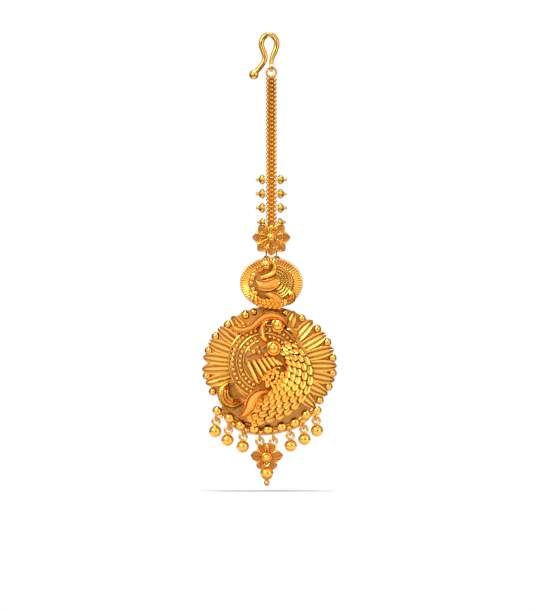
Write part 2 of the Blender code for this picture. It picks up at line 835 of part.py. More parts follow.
def main_core(bm):
    """Raised field inside the petals."""
    back = (PLATE_FRONT_Y + BACKING_FRONT_Y) / 2
    plate(bm, ellipse(2 * CORE_RADIUS, 2 * CORE_RADIUS, 24), back, CORE_FRONT_Y)


def sun_petal(bm, degrees, reach):
    tip = MAIN_RADIUS * reach
    route = (polar(degrees, tip - PETAL_LENGTH), polar(degrees, tip))
    base = (PLATE_FRONT_Y + BACKING_FRONT_Y) / 2
    swept(bm, route, PETAL_WIDTH, base - CORE_FRONT_Y, base, LANCEOLATE, CROWNED)


def rim_bead(bm, degrees, reach, size):
    x, z = polar(degrees, MAIN_RADIUS * reach)
    radius = RIM_BEAD_RADIUS * size
    ball(bm, (x, CORE_FRONT_Y + radius, z), radius, BEAD_SIDES, 4)


def arc_bead(bm, degrees, reach, size):
    x, z = polar(degrees, MAIN_RADIUS * reach)
    ball(bm, (x, BACK_Y - ARC_BEAD_RADIUS, z), ARC_BEAD_RADIUS * size)


def arc_wire(bm):
    places = [polar(degrees, MAIN_RADIUS * reach) for degrees, reach, _ in ARC_BEADS]
    wire(bm, [(x, BACK_Y - ARC_BEAD_RADIUS, z) for x, z in places], ARC_WIRE, 1)


def filigree_arc(bm, share, first, last):
    x, z = main_route([FILIGREE_CENTRE])[0]
    route = []
    for i in range(9):
        across, up = polar(first + (last - first) * i / 8, MAIN_RADIUS * share)
        route.append((x + across, z + up))
    base = SEAT_Y - RELIEF_HEIGHT * FIELD_SHARE * 0.8
    stations = [(i / 8, 1, 1) for i in range(9)]
    swept(bm, route, FILIGREE_WIRE, 1.5 * FILIGREE_WIRE, base, stations, KEELED)


def arc_height(x):
    """Height of the bead arc's wire at x."""
    places = [polar(degrees, MAIN_RADIUS * reach) for degrees, reach, _ in ARC_BEADS]
    for (left, left_z), (right, right_z) in zip(places, places[1:]):
        if x < right:
            share = max((x - left) / (right - left), 0)
            return left_z + share * (right_z - left_z)
    return places[-1][1]


def flower_links():
    """Names and places of the two eyelets that the flower drop hangs in."""
    x, z = main_route([DROP_FLOWER_LINKS_AT])[0]
    spread = DROP_LINK_SPREAD * DROP_FLOWER_RADIUS
    return (("left", (x - spread, z)), ("right", (x + spread, z)))


def drop_eyelet(bm, x, z):
    rise = arc_height(x) - z - DROP_LINK_RADIUS
    ring(bm, (x, 0, z), DROP_LINK_RADIUS, LINK_WIRE, 90, rise)


def main_frame_shapes():
    shapes = {"plate": shape(main_plate), "backing": shape(main_backing)}
    shapes["core"] = shape(main_core)
    shapes["arc_wire"] = shape(arc_wire)
    for i, row in enumerate(PETALS):
        shapes[f"petal_{i + 1}"] = shape(sun_petal, *row)
    for i, row in enumerate(RIM_BEADS):
        shapes[f"rim_bead_{i + 1}"] = shape(rim_bead, *row)
    for i, row in enumerate(ARC_BEADS):
        shapes[f"arc_bead_{i + 1}"] = shape(arc_bead, *row)
    for i, (across, up, _) in enumerate(DROPS):
        x, z = main_route([(across, up)])[0]
        shapes[f"eyelet_{i + 1}"] = shape(drop_eyelet, x, z)
    for label, (x, z) in flower_links():
        shapes["eyelet_drop_" + label] = shape(drop_eyelet, x, z)
    for label, side in (("left", -1), ("right", 1)):
        x = side * SMALL_LINK_SPREAD - MAIN_SIDESTEP
        shapes["ring_" + label] = shape(face_ring, x, SECOND_HINGE_Z - MAIN_Z)
    return shapes


# Main relief
def feather(bm, place, heading, base_y):
    length, width = (share * BODY_BREADTH * MAIN_RADIUS for share in FEATHER_SIZE)
    route = (tuple(place), tuple(place + heading * length))
    swept(bm, route, width, FEATHER_HEIGHT, base_y, TEARDROP, KEELED)


def feathers(bm):
    """Ranks of overlapping feathers that follow the body's curve."""
    route = main_route(BODY_ROUTE)
    half_body = 0.47 * BODY_BREADTH * MAIN_RADIUS
    for rank in range(FEATHER_RANKS):
        for row in range(FEATHER_ROWS):
            t = (rank + 0.5 * (row % 2)) / FEATHER_RANKS
            side = 2 * (row + 0.5) / FEATHER_ROWS - 1
            heading = direction(route, t)
            normal = Vector((heading.y, -heading.x))
            place = along(route, t) + normal * (side * half_body)
            crown = 1 - 0.45 * side * side
            feather(bm, place, heading, SEAT_Y - RELIEF_HEIGHT * crown * 0.75)


def wing_bar(bm, number):
    share = number / (WING_BARS - 1)
    start = (-0.33 + 0.36 * share, 0.1 + 0.04 * share)
    end = (-0.2 + 0.34 * share, -0.22 + 0.2 * share)
    route = main_route([start, end])
    swept(bm, route, WING_BAR_WIDTH, RELIEF_HEIGHT * 0.9, SEAT_Y, RIBBON, KEELED)


def relief_mound(bm):
    """Low field that carries the wing, the granules and the feathers."""
    sizes = ((0.6, 0), (0.6, FIELD_SHARE), (0.42, FIELD_SHARE * 1.5))
    x, z = main_route([(0.02, -0.06)])[0]
    rings = []
    for size, high in sizes:
        outline = ellipse(2 * MAIN_RADIUS * size, 2 * MAIN_RADIUS * size, 16)
        y = SEAT_Y - high * RELIEF_HEIGHT
        rings.append([(x + across, y, z + up) for across, up in outline])
    loft(bm, rings)


def relief_ball(bm, at, radius):
    x, z = main_route([at])[0]
    ball(bm, (x, SEAT_Y - RELIEF_HEIGHT, z), radius)


def build_relief(holder, location):
    shapes = {
        "mound": shape(relief_mound),
        "head": shape(relief_ball, HEAD_AT, HEAD_BALL_SHARE * MAIN_RADIUS),
        "throat": shape(relief_ball, THROAT_AT, THROAT_BALL_SHARE * MAIN_RADIUS),
        "feathers": shape(feathers),
    }
    for label, route, width, high, stations, section in MAIN_RELIEF:
        sizes = (width * MAIN_RADIUS, high * RELIEF_HEIGHT)
        shapes[label] = shape(swept, main_route(route), *sizes, SEAT_Y, stations, section)
    for i in range(WING_BARS):
        shapes[f"wing_bar_{i + 1}"] = shape(wing_bar, i)
    for i, row in enumerate(FILIGREE_ARCS):
        shapes[f"filigree_{i + 1}"] = shape(filigree_arc, *row)
    piece("main_peacock", shapes, holder, location, 0.3)


# Drops
def drop_ring(bm, x=0.0, z=0.0):
    """Face-on ring whose top runs through the eyelet's centre."""
    ring(bm, (x, 0, z - DROP_RING_RADIUS), DROP_RING_RADIUS, DROP_RING_WIRE)


def drop_bead(bm):
    z = -2 * DROP_RING_RADIUS - DROP_BEAD_RADIUS * 0.97
    ball(bm, (0, 0, z), DROP_BEAD_RADIUS)


def build_drops(holder, location):
    for i, (across, up, lean) in enumerate(DROPS):
        x, z = main_route([(across, up)])[0]
        shapes = {"bead": shape(drop_bead), "ring": shape(drop_ring)}
        place = (location[0] + x, 0, location[2] + z)
        made = piece(f"drop_{i + 1}", shapes, holder, place, 0.15)
        made.rotation_euler = (0, math.radians(lean), 0)


# Flower drop
def drop_petal(bm, degrees, reach, width):
    route = (polar(degrees, DROP_FLOWER_RADIUS * 0.1), polar(degrees, DROP_FLOWER_RADIUS * reach))
    base = DROP_RING_WIRE * 0.3
    width *= DROP_FLOWER_RADIUS
    swept(bm, route, width, FLOWER_PETAL_HEIGHT * 1.6, base, LOBED, TROUGH)


def build_flower_drop(holder, location):
    x, link_z = main_route([DROP_FLOWER_LINKS_AT])[0]
    z = link_z - 2 * DROP_RING_RADIUS - DROP_RING_REST * DROP_FLOWER_RADIUS
    front = -FLOWER_PETAL_HEIGHT * 1.2
    low_z = -DROP_FLOWER_RADIUS * 0.7 - LOW_BEAD_RADIUS * 0.85
    end_z = low_z - LOW_BEAD_RADIUS - END_BEAD_RADIUS * 0.9
    petal_base = -DROP_FLOWER_RADIUS * 0.3
    shapes = {
        "centre": shape(ball, (0, front, 0), DROP_FLOWER_BEAD_RADIUS),
        "low_bead": shape(ball, (0, 0, low_z), LOW_BEAD_RADIUS),
        "end_bead": shape(ball, (0, 0, end_z), END_BEAD_RADIUS),
        "stem": shape(rod, (0, -LINK_WIRE, petal_base), (0, 0, low_z), LINK_WIRE),
    }
    for i, row in enumerate(DROP_PETALS):
        shapes[f"petal_{i + 1}"] = shape(drop_petal, *row)
    for label, (link_x, _) in flower_links():
        shapes["ring_" + label] = shape(drop_ring, link_x - x, link_z - z)
    piece("flower_drop", shapes, holder, (location[0] + x, 0, location[2] + z), 0.2)


def pivot(name, z, holder):
    made = bpy.data.objects.new(name, None)
    PARTS.objects.link(made)
    made.parent = holder
    made.location = (0, 0, z)
    return made


def build():
    build_root()
    small = pivot("small_pendant_hinge", FIRST_HINGE_Z, None)
    build_small(small)
    main = pivot("main_pendant_hinge", SECOND_HINGE_Z - FIRST_HINGE_Z, small)
    location = (MAIN_SIDESTEP, 0, MAIN_Z - SECOND_HINGE_Z)
    piece("main_medallion", main_frame_shapes(), main, location)
    build_relief(main, location)
    build_drops(main, location)
    build_flower_drop(main, location)


for old in list(bpy.data.objects):
    bpy.data.objects.remove(old)
PARTS = new_collection("maang_tikka", bpy.context.scene.collection)
JOINED = new_collection("joined_shapes", bpy.context.scene.collection)
build()
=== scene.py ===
import math

import bmesh
import bpy
from mathutils import Matrix, Vector


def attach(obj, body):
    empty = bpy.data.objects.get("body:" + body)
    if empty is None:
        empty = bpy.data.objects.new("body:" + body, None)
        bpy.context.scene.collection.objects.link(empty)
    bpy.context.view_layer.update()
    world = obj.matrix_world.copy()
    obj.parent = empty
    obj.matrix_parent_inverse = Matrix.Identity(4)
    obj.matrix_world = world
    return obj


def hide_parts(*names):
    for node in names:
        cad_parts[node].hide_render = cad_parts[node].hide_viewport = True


# A gold forehead jewel, dressed over its solids. Shapes are drawn in millimetres and
# scaled to metres when a piece is finished. The front looks towards -Y.
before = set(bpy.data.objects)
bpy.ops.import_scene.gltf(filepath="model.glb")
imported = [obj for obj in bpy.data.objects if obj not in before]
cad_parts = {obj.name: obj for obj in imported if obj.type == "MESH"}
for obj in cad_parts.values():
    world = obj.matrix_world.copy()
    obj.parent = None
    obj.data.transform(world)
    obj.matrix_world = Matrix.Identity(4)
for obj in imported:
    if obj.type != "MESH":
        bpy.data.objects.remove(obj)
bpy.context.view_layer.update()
print("solids loaded:", len(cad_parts))

heights = dict(  # centres on the chain's line
    chainTop=-10.45,
    chainEnd=-48.45,
    flower=-52.15,
    firstHinge=-57.05,
    small=-63.95,
    secondHinge=-70.85,
    main=-85.6,
)


# Finishes
goldTones = dict(
    bright=(1.0, 0.52, 0.075, 1),
    soft=(0.98, 0.49, 0.085, 1),  # fields between the rims
    worn=(0.95, 0.43, 0.045, 1),
    deep=(0.3, 0.062, 0.004, 1),  # painted shade: the dark tone laid into hollows, gaps and under overlaps
)


def mixColours(nodes, links, factor, first, second, blend="MIX"):
    mix = nodes.new("ShaderNodeMix")
    mix.data_type = "RGBA"
    mix.blend_type = blend
    for socket, value in ((mix.inputs[0], factor), (mix.inputs[6], first), (mix.inputs[7], second)):
        if isinstance(value, (tuple, float)):
            socket.default_value = value
        else:
            links.new(value, socket)
    return mix.outputs[2]


def mapRange(nodes, links, value, fromLow, fromHigh, toLow, toHigh):
    ranged = nodes.new("ShaderNodeMapRange")
    links.new(value, ranged.inputs[0])
    for i, number in enumerate((fromLow, fromHigh, toLow, toHigh)):
        ranged.inputs[i + 1].default_value = number
    return ranged.outputs[0]


def multiply(nodes, links, first, second):
    times = nodes.new("ShaderNodeMath")
    times.operation = "MULTIPLY"
    links.new(first, times.inputs[0])
    if isinstance(second, float):
        times.inputs[1].default_value = second
    else:
        links.new(second, times.inputs[1])
    return times.outputs[0]


def noiseOf(nodes, links, place, scale, detail):
    noise = nodes.new("ShaderNodeTexNoise")
    noise.inputs["Scale"].default_value = scale
    noise.inputs["Detail"].default_value = detail
    links.new(place, noise.inputs["Vector"])
    return noise.outputs["Fac"]


def goldFinish(name, polished=0.13, satin=0.42, crest=-2.0, hollow=0.0, depth=0.0):
    # crest and hollow are in mm from the chain's plane, and depth says how much painted shade the
    # hollows get
    made = bpy.data.materials.new(name)
    made.use_nodes = True
    nodes, links = made.node_tree.nodes, made.node_tree.links
    shader = nodes["Principled BSDF"]
    shader.inputs["Metallic"].default_value = 1.0
    place = nodes.new("ShaderNodeTexCoord").outputs["Object"]
    attribute = nodes.new("ShaderNodeAttribute")
    attribute.attribute_name = "matte"
    matte = attribute.outputs["Fac"]
    broad = noiseOf(nodes, links, place, 420.0, 2.0)
    fine = noiseOf(nodes, links, place, 2600.0, 3.0)
    stipple = nodes.new("ShaderNodeTexVoronoi")
    stipple.inputs["Scale"].default_value = 5200.0
    links.new(place, stipple.inputs["Vector"])
    tone = mixColours(nodes, links, matte, goldTones["bright"], goldTones["soft"])
    wear = mapRange(nodes, links, broad, 0.3, 0.7, 0.0, 0.22)
    tone = mixColours(nodes, links, wear, tone, goldTones["worn"])
    # painted shade: the shade attribute mixes the tone towards the deep one in hollows, gaps, under
    # overlaps and on backing fields
    shade = nodes.new("ShaderNodeAttribute")
    shade.attribute_name = "shade"
    edges = mapRange(nodes, links, shade.outputs["Fac"], 0.0, 1.0, 0.0, 0.85)
    tone = mixColours(nodes, links, edges, tone, goldTones["deep"])
    # painted shade: darker the further a front surface lies back from the crest
    if depth:
        split = nodes.new("ShaderNodeSeparateXYZ")
        links.new(place, split.inputs[0])
        low = mapRange(nodes, links, split.outputs[1], crest * 0.001, hollow * 0.001, 0.0, depth)
        front = mapRange(nodes, links, split.outputs[1], 0.0, 0.0004, 1.0, 0.0)
        tone = mixColours(nodes, links, multiply(nodes, links, low, front), tone, goldTones["deep"])
    links.new(tone, shader.inputs["Base Color"])
    rough = mapRange(nodes, links, matte, 0.0, 1.0, polished, satin)
    grain = mapRange(nodes, links, fine, 0.3, 0.7, 0.85, 1.25)
    links.new(multiply(nodes, links, rough, grain), shader.inputs["Roughness"])
    shader.inputs["Coat Weight"].default_value = 0.5
    shader.inputs["Coat Roughness"].default_value = 0.06
    pits = multiply(nodes, links, stipple.outputs["Distance"], matte)
    stippled = nodes.new("ShaderNodeBump")
    stippled.inputs["Strength"].default_value = 0.3
    stippled.inputs["Distance"].default_value = 0.00006
    links.new(pits, stippled.inputs["Height"])
    handmade = nodes.new("ShaderNodeBump")
    handmade.inputs["Strength"].default_value = 0.12
    handmade.inputs["Distance"].default_value = 0.00005
    links.new(broad, handmade.inputs["Height"])
    links.new(stippled.outputs[0], handmade.inputs["Normal"])
    links.new(handmade.outputs[0], shader.inputs["Normal"])
    return made


# Shaping
def newShape():
    bm = bmesh.new()
    bm.verts.layers.float.new("matte")
    bm.verts.layers.float.new("shade")
    return bm


def join(bm, part, place=Matrix()):
    bmesh.ops.transform(part, matrix=place, verts=part.verts)
    mesh = bpy.data.meshes.new("part")
    part.to_mesh(mesh)
    part.free()
    bm.from_mesh(mesh)
    bpy.data.meshes.remove(mesh)


def turned(x=0.0, y=0.0, z=0.0):
    turns = [Matrix.Rotation(math.radians(a), 4, axis) for a, axis in ((z, "Z"), (y, "Y"), (x, "X"))]
    return turns[0] @ turns[1] @ turns[2]


def addBead(bm, at, radius, stretch=(1, 1, 1), sides=14, bands=9, turn=Matrix()):
    place = Matrix.Translation(at) @ turn @ Matrix.Diagonal((*stretch, 1))
    bmesh.ops.create_uvsphere(bm, u_segments=sides, v_segments=bands, radius=radius, matrix=place)


def addRing(bm, at, radius, wire, turn=Matrix(), stretch=(1, 1, 1), steps=22, sides=8):
    ring = newShape()  # face-on from the front while turn is left alone
    start = Matrix.Translation((radius, 0, 0))
    bmesh.ops.create_circle(ring, segments=sides, radius=wire / 2, matrix=start)
    loop = ring.verts[:] + ring.edges[:]
    bmesh.ops.spin(
        ring, geom=loop, cent=(0, 0, 0), axis=(0, 1, 0), angle=math.tau, steps=steps, use_merge=True
    )
    join(bm, ring, Matrix.Translation(at) @ turn @ Matrix.Diagonal((*stretch, 1)))


def addTurned(bm, profile, at, turn=Matrix(), steps=18):
    part = newShape()
    verts = [part.verts.new((a, r, 0)) for a, r in profile]
    edges = [part.edges.new(pair) for pair in zip(verts, verts[1:])]
    line = verts + edges
    bmesh.ops.spin(
        part, geom=line, cent=(0, 0, 0), axis=(1, 0, 0), angle=math.tau, steps=steps, use_merge=True
    )
    bmesh.ops.remove_doubles(part, verts=part.verts, dist=0.0005)
    join(bm, part, Matrix.Translation(at) @ turn)


def alongRoute(route, t):
    place = t * (len(route) - 1)
    i = min(int(place), len(route) - 2)
    f = place - i
    before, start = Vector(route[max(i - 1, 0)]), Vector(route[i])
    end, after = Vector(route[i + 1]), Vector(route[min(i + 2, len(route) - 1)])
    bend = 2 * before - 5 * start + 4 * end - after
    swing = 3 * start - before - 3 * end + after
    return start + f * 0.5 * ((end - before) + f * (bend + f * swing))


def headingAt(route, t):
    return (alongRoute(route, min(t + 0.01, 1)) - alongRoute(route, max(t - 0.01, 0))).normalized()


def stationAt(stations, t):
    for (low, wide, high), (top, wide2, high2) in zip(stations, stations[1:]):
        if t <= top:
            f = (t - low) / (top - low)
            return wide + f * (wide2 - wide), high + f * (high2 - high)
    return stations[-1][1:]


def sweep(whole, profile, places, root=0.0):
    # extrudes a closed profile of (across, out, matte) from place to place, with painted
    # shade where it is low, and over its first part as well where it has a root
    bm = newShape()
    matte, shade = (bm.verts.layers.float[name] for name in ("matte", "shade"))
    verts = []
    for across, out, dull in profile:
        verts.append(bm.verts.new((across, out, 0)))
        verts[-1][matte] = dull
        verts[-1][shade] = root + max(0, 1 - out / 0.78) if dull or out < 0.05 else root
    first = [bm.edges.new(pair) for pair in zip(verts, verts[1:] + verts[:1])]
    bmesh.ops.transform(bm, matrix=places[0], verts=verts)
    loop = first
    for before, after in zip(places, places[1:]):
        made = bmesh.ops.extrude_edge_only(bm, edges=loop)["geom"]
        moved = [part for part in made if isinstance(part, bmesh.types.BMVert)]
        loop = [part for part in made if isinstance(part, bmesh.types.BMEdge) and part.is_boundary]
        bmesh.ops.transform(bm, matrix=after @ before.inverted(), verts=moved)
        if root:
            for vert in moved:
                vert[shade] -= root / (0.5 * len(places))
    bmesh.ops.edgeloop_fill(bm, edges=first)
    bmesh.ops.edgeloop_fill(bm, edges=loop)
    join(whole, bm)


def addRelief(bm, route, width, height, base, stations, profile, steps=16, rise=0.0, root=0.0):
    places = []  # metal along a route in the XZ plane, standing out to the front from y = base
    for i in range(steps + 1):
        t = i / steps
        (x, z), heading = alongRoute(route, t), headingAt(route, t)
        wide, high = stationAt(stations, t)
        half = width / 2 * wide
        places.append(
            Matrix(
                (
                    (heading.y * half, 0, heading.x, x),
                    (0, -height * high, 0, base - rise * t),
                    (-heading.x * half, 0, heading.y, z),
                    (0, 0, 0, 1),
                )
            )
        )
    sweep(bm, profile, places, root)


def roundProfile(sides):
    turns = [math.tau * i / sides for i in range(sides)]
    return [(math.cos(a), math.sin(a), 0) for a in turns]


def addWire(bm, route, thickness, y, steps=24, sides=8):
    even = ((0, 1, 1), (1, 1, 1))
    addRelief(bm, route, thickness, thickness / 2, y, even, roundProfile(sides), steps)


def polar(degrees, reach, centre=(0, 0)):
    angle = math.radians(degrees)
    return (centre[0] + reach * math.cos(angle), centre[1] + reach * math.sin(angle))


def arcRoute(centre, radius, first, last, count=9):
    turns = [first + (last - first) * i / (count - 1) for i in range(count)]
    return [polar(degrees, radius, centre) for degrees in turns]


def moved(points, across, up):
    return [(x + across, z + up) for x, z in points]


def finishPiece(name, bm, body, finish, nodes, sharp=38):
    bmesh.ops.recalc_face_normals(bm, faces=bm.faces)
    bmesh.ops.scale(bm, vec=(0.001, 0.001, 0.001), verts=bm.verts)
    mesh = bpy.data.meshes.new(name)
    bm.to_mesh(mesh)
    bm.free()
    mesh.shade_smooth()
    mesh.set_sharp_from_angle(angle=math.radians(sharp))
    mesh.materials.append(finish)
    piece = bpy.data.objects.new(name, mesh)
    bpy.context.scene.collection.objects.link(piece)
    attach(piece, body)
    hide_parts(*nodes)
    print(name, "has", sum(len(face.vertices) - 2 for face in mesh.polygons), "triangles")


# Cross-sections: (across in half widths, out in heights, 1 where the field is stippled)
def bothSides(half):
    return half + [(-across, out, dull) for across, out, dull in reversed(half) if across]


halfRound = [(math.cos(math.pi * i / 8), math.sin(math.pi * i / 8), 0) for i in range(9)]
webProfile = [(-1, 0, 0), (-1, 1, 1), (1, 1, 1), (1, 0, 0)]
brightFacet = [(-1, 0, 0), (-0.95, 0.35, 0), (0.4, 0.95, 0), (0.62, 1, 0), (0.8, 0.8, 0), (1, 0, 0)]
threeRidges = bothSides(
    [
        (-1, 0, 0), (-0.98, 0.66, 0), (-0.86, 0.95, 0), (-0.7, 0.82, 0), (-0.5, 0.5, 0.7),
        (-0.32, 0.5, 0.7), (-0.15, 0.84, 0), (0, 0.96, 0),
    ]
)
broadRim = bothSides(
    [
        (-1, 0, 0), (-0.99, 0.66, 0), (-0.9, 0.93, 0), (-0.78, 1, 0), (-0.68, 0.9, 0),
        (-0.6, 0.56, 0.8), (-0.5, 0.7, 1), (0, 0.78, 1),
    ]
)
cuppedPetal = bothSides(
    [
        (-1, 0, 0), (-0.99, 0.66, 0), (-0.9, 0.93, 0), (-0.79, 1, 0), (-0.68, 0.88, 0),
        (-0.56, 0.44, 1), (-0.28, 0.36, 1), (0, 0.42, 1),
    ]
)
featherProfile = bothSides(
    [(-1, 0, 0), (-0.97, 0.75, 0), (-0.8, 1, 0), (-0.52, 0.62, 0), (-0.14, 0.58, 0), (0, 0.9, 0)]
)
fourGrooves = [(-1, 0, 0), (-0.98, 0.45, 0)]
for ridge, top in enumerate((0.82, 1.0, 0.96, 0.74)):
    middle = -0.72 + 0.48 * ridge
    fourGrooves += [(middle - 0.14, top, 0), (middle + 0.12, top, 0), (middle + 0.24, top * 0.78, 0)]
fourGrooves += [(1, 0, 0)]


# Hook
hookLook = dict(
    wire=1.35,
    ball=1.22,
    route=[
        (-4.55, -9.78), (-3.65, -8.67), (-2.52, -7.31), (-1.75, -5.88), (-1.71, -4.77),
        (-2.15, -3.50), (-2.64, -1.91), (-2.27, -0.48), (-1.46, 0.40), (-0.57, 0.64),
        (0.45, 0.24), (1.22, -0.72), (1.42, -1.75), (1.18, -3.02), (0.53, -4.61), (0.08, -5.96),
        (0.0, -7.31),
    ],
    taper=((0, 0.9, 0.9), (0.1, 1, 1), (0.85, 1, 1), (1, 0.72, 0.72)),
    collar=(0.62, 0.3, turned(y=-50, z=90)),  # radius, wire and lie, beside the ball
    eye=0.8,
    eyeWire=0.5,
    eyeAt=-7.95,
)


def makeHook(finish):
    bm, look = newShape(), hookLook
    wire = look["wire"]
    addRelief(bm, look["route"], wire, wire / 2, 0, look["taper"], roundProfile(14), 72)
    ball, bend = Vector(look["route"][0]), Vector(look["route"][1])
    addBead(bm, (ball.x, 0, ball.y), look["ball"], sides=28, bands=18)
    collar = ball + (bend - ball) * 1.12
    addRing(bm, (collar.x, 0, collar.y), *look["collar"])
    addRing(bm, (0, 0, look["eyeAt"]), look["eye"], look["eyeWire"], turned(z=90), (1, 1.9, 1), 28)
    finishPiece("hookDressed", bm, "head_piece", finish, ["hook"])


# Chain
chainLook = dict(
    rows=35,
    wire=0.68,
    middle=(0.8, 1, 0.95),
    side=(0.72, 0.94, 0.95),
    sideAt=0.95,
    slant=58,
    ring=0.5,  # a link's radius before it is stretched
    core=(2.0, 0.5),
    coreShade=0.6,
    knot=(0.24, (0.8, 2.3, 1)),
    end=(0.62, (1.25, 0.9, 0.8)),
    ringRadius=1.25,
    ringWire=0.56,
)


def makeChain(finish):
    bm, look = newShape(), chainLook
    top, end = heights["chainTop"], heights["chainEnd"]
    pitch = (top - end) / look["rows"]
    core = Matrix.Diagonal((*look["core"], top - end - 0.8, 1))
    core = Matrix.Translation((0, 0, (top + end) / 2)) @ core
    # the core is painted with shade, so it reads as the dark holes between the links
    for vert in bmesh.ops.create_cube(bm, size=1, matrix=core)["verts"]:
        vert[bm.verts.layers.float["shade"]] = look["coreShade"]
    link, wire = look["ring"], look["wire"]
    steep, level = turned(y=look["slant"]) @ turned(x=90), turned(x=90)
    for row in range(look["rows"]):  # links lie edge-on: level in the middle, steep beside it
        z = top - pitch * (row + 0.5)
        for side in (-1, 1):
            addRing(bm, (side * look["sideAt"], 0, z), link, wire, steep, look["side"], 12, 6)
        addRing(bm, (0, 0, z - pitch / 2), link, wire, level, look["middle"], 12, 6)
        addBead(bm, (0, 0, z), *look["knot"], 6, 5)
    for z in (top + 0.1, end - 0.1):
        addBead(bm, (0, 0, z), *look["end"])
    at = (0, 0, hookLook["eyeAt"] - look["ringRadius"])
    addRing(bm, at, look["ringRadius"], look["ringWire"], steps=32, sides=10)
    finishPiece("chainDressed", bm, "head_piece", finish, ["chain"])


# Beads with drawn-out tips
spikeLook = dict(
    length=2.45,
    radius=1.27,
    pitch=3.7,
    lastAboveFlower=4.0,
    lastSize=0.88,
    startAt=1.62,
    collar=(0.72, 0.3),
    profile=[
        (0.0, 0.0), (0.0, 0.48), (0.04, 0.6), (0.1, 0.76), (0.17, 0.92), (0.25, 1.0), (0.33, 1.0),
        (0.41, 0.92), (0.49, 0.78), (0.57, 0.6), (0.65, 0.43), (0.71, 0.33), (0.76, 0.3),
        (0.82, 0.34), (0.89, 0.35), (0.95, 0.25), (1.0, 0.0),
    ],
)


def makeSpikeBeads(finish):
    look = spikeLook
    for row in range(4):
        size = look["lastSize"] if row == 3 else 1
        z = heights["flower"] + look["lastAboveFlower"] + look["pitch"] * (3 - row)
        profile = [(a * look["length"] * size, r * look["radius"] * size) for a, r in look["profile"]]
        for label, side in (("left", -1), ("right", 1)):
            bm = newShape()
            addTurned(bm, profile, (side * look["startAt"], 0, z), turned(y=90 - side * 90), 24)
            radius, wire = look["collar"]
            addRing(bm, (side * (look["startAt"] + 0.1), 0, z), radius * size, wire, turned(z=90))
            node = f"spike_bead_{label}_{row + 1}"
            finishPiece(node + "Dressed", bm, "head_piece", finish, [node], 60)


# Flower
flowerLook = dict(
    hub=2.4,
    hubBack=0.25,
    petal=4.7,
    width=3.2,
    height=0.8,
    base=-1.0,
    bead=0.95,
    petals=[
        (90, 0.93, 0.0), (0, 1.05, 0.05), (-90, 1.0, 0.1), (180, 1.05, 0.08), (45, 0.97, 0.2),
        (-45, 1.05, 0.25), (-135, 1.05, 0.3), (135, 0.97, 0.22),
    ],
    stations=(
        (0, 0.22, 0.5), (0.2, 0.5, 0.75), (0.4, 0.82, 0.9), (0.56, 1, 1), (0.72, 0.86, 1),
        (0.86, 0.45, 0.95), (1, 0.06, 0.8),
    ),
    rib=(0.46, 0.9, ((0, 0.5, 0.7), (0.5, 1, 1), (1, 0.2, 0.8))),
    grain=(0.24, (1.2, 0.7, 1.2)),
    topBead=(0.62, (0.9, 0.8, 1.25)),
    eyelets=1.33,
    eyelet=0.68,
    wire=0.4,
)


def addEyelet(bm, x, z, radius, wire, top):
    loop = newShape()  # edge-on, and drawn up to the piece that carries it
    addRing(loop, (x, 0, z), radius, wire, turned(z=90), steps=20)
    high = [vert for vert in loop.verts if vert.co.z > z + radius * 0.25]
    bmesh.ops.translate(loop, vec=(0, 0, top - z - radius), verts=high)
    join(bm, loop)


def makeFlower(finish):
    bm, look = newShape(), flowerLook
    z, hub, height = heights["flower"], look["hub"], look["height"]
    place = Matrix.Translation((0, look["hubBack"] - 0.75, z)) @ turned(x=90)
    bmesh.ops.create_cone(
        bm, cap_ends=True, segments=32, radius1=hub, radius2=hub, depth=1.5, matrix=place
    )
    tab = Matrix.Translation((0, 0, z + hub + 0.1)) @ Matrix.Diagonal((2.0, 0.9, 2.2, 1))
    bmesh.ops.create_cube(bm, size=1, matrix=tab)
    for degrees, reach, lift in look["petals"]:
        start, tip = look["bead"] * 0.8, look["petal"] * reach
        base = look["base"] - height * lift
        route = [polar(degrees, reached) for reached in (start, (start + tip) / 2, tip)]
        route = moved(route, 0, z)
        addRelief(bm, route, look["width"], height, base, look["stations"], cuppedPetal, 14)
        wide, high, taper = look["rib"]
        rib = moved([polar(degrees, start + 0.4), polar(degrees, tip * 0.8)], 0, z)
        addRelief(bm, rib, wide, height * high, base, taper, halfRound, 8)
        for side in (-1, 1):
            x, up = polar(degrees + side * 13, tip * 0.6)
            addBead(bm, (x, base - height * 0.62, z + up), *look["grain"], 8, 6)
    x, up = polar(90, look["petal"] * 0.52)
    addBead(bm, (0, look["base"] - 0.6, z + up), *look["topBead"], 14, 10)
    front = look["base"] - height
    addRing(bm, (0, front + 0.3, z), look["bead"] * 0.98, 0.4, steps=28)
    addBead(bm, (0, front - 0.1, z), look["bead"], sides=24, bands=16)
    for side in (-1, 1):
        x = side * look["eyelets"]
        addEyelet(bm, x, heights["firstHinge"], look["eyelet"], look["wire"], z - hub * 0.6)
    finishPiece("flowerDressed", bm, "head_piece", finish, ["flower_rosette"])


# Small medallion
smallLook = dict(
    width=16.4,
    height=13.4,
    plate=0.8,
    backY=0.92,
    frontY=-1.3,
    rods=62,
    rodInner=0.74,
    rodWire=0.62,
    rodY=-0.95,
    rodBead=0.36,
    backing=0.93,
    grains=48,
    grain=0.3,
    ring=0.9,
    ringWire=0.42,
    eyelets=2.25,
)


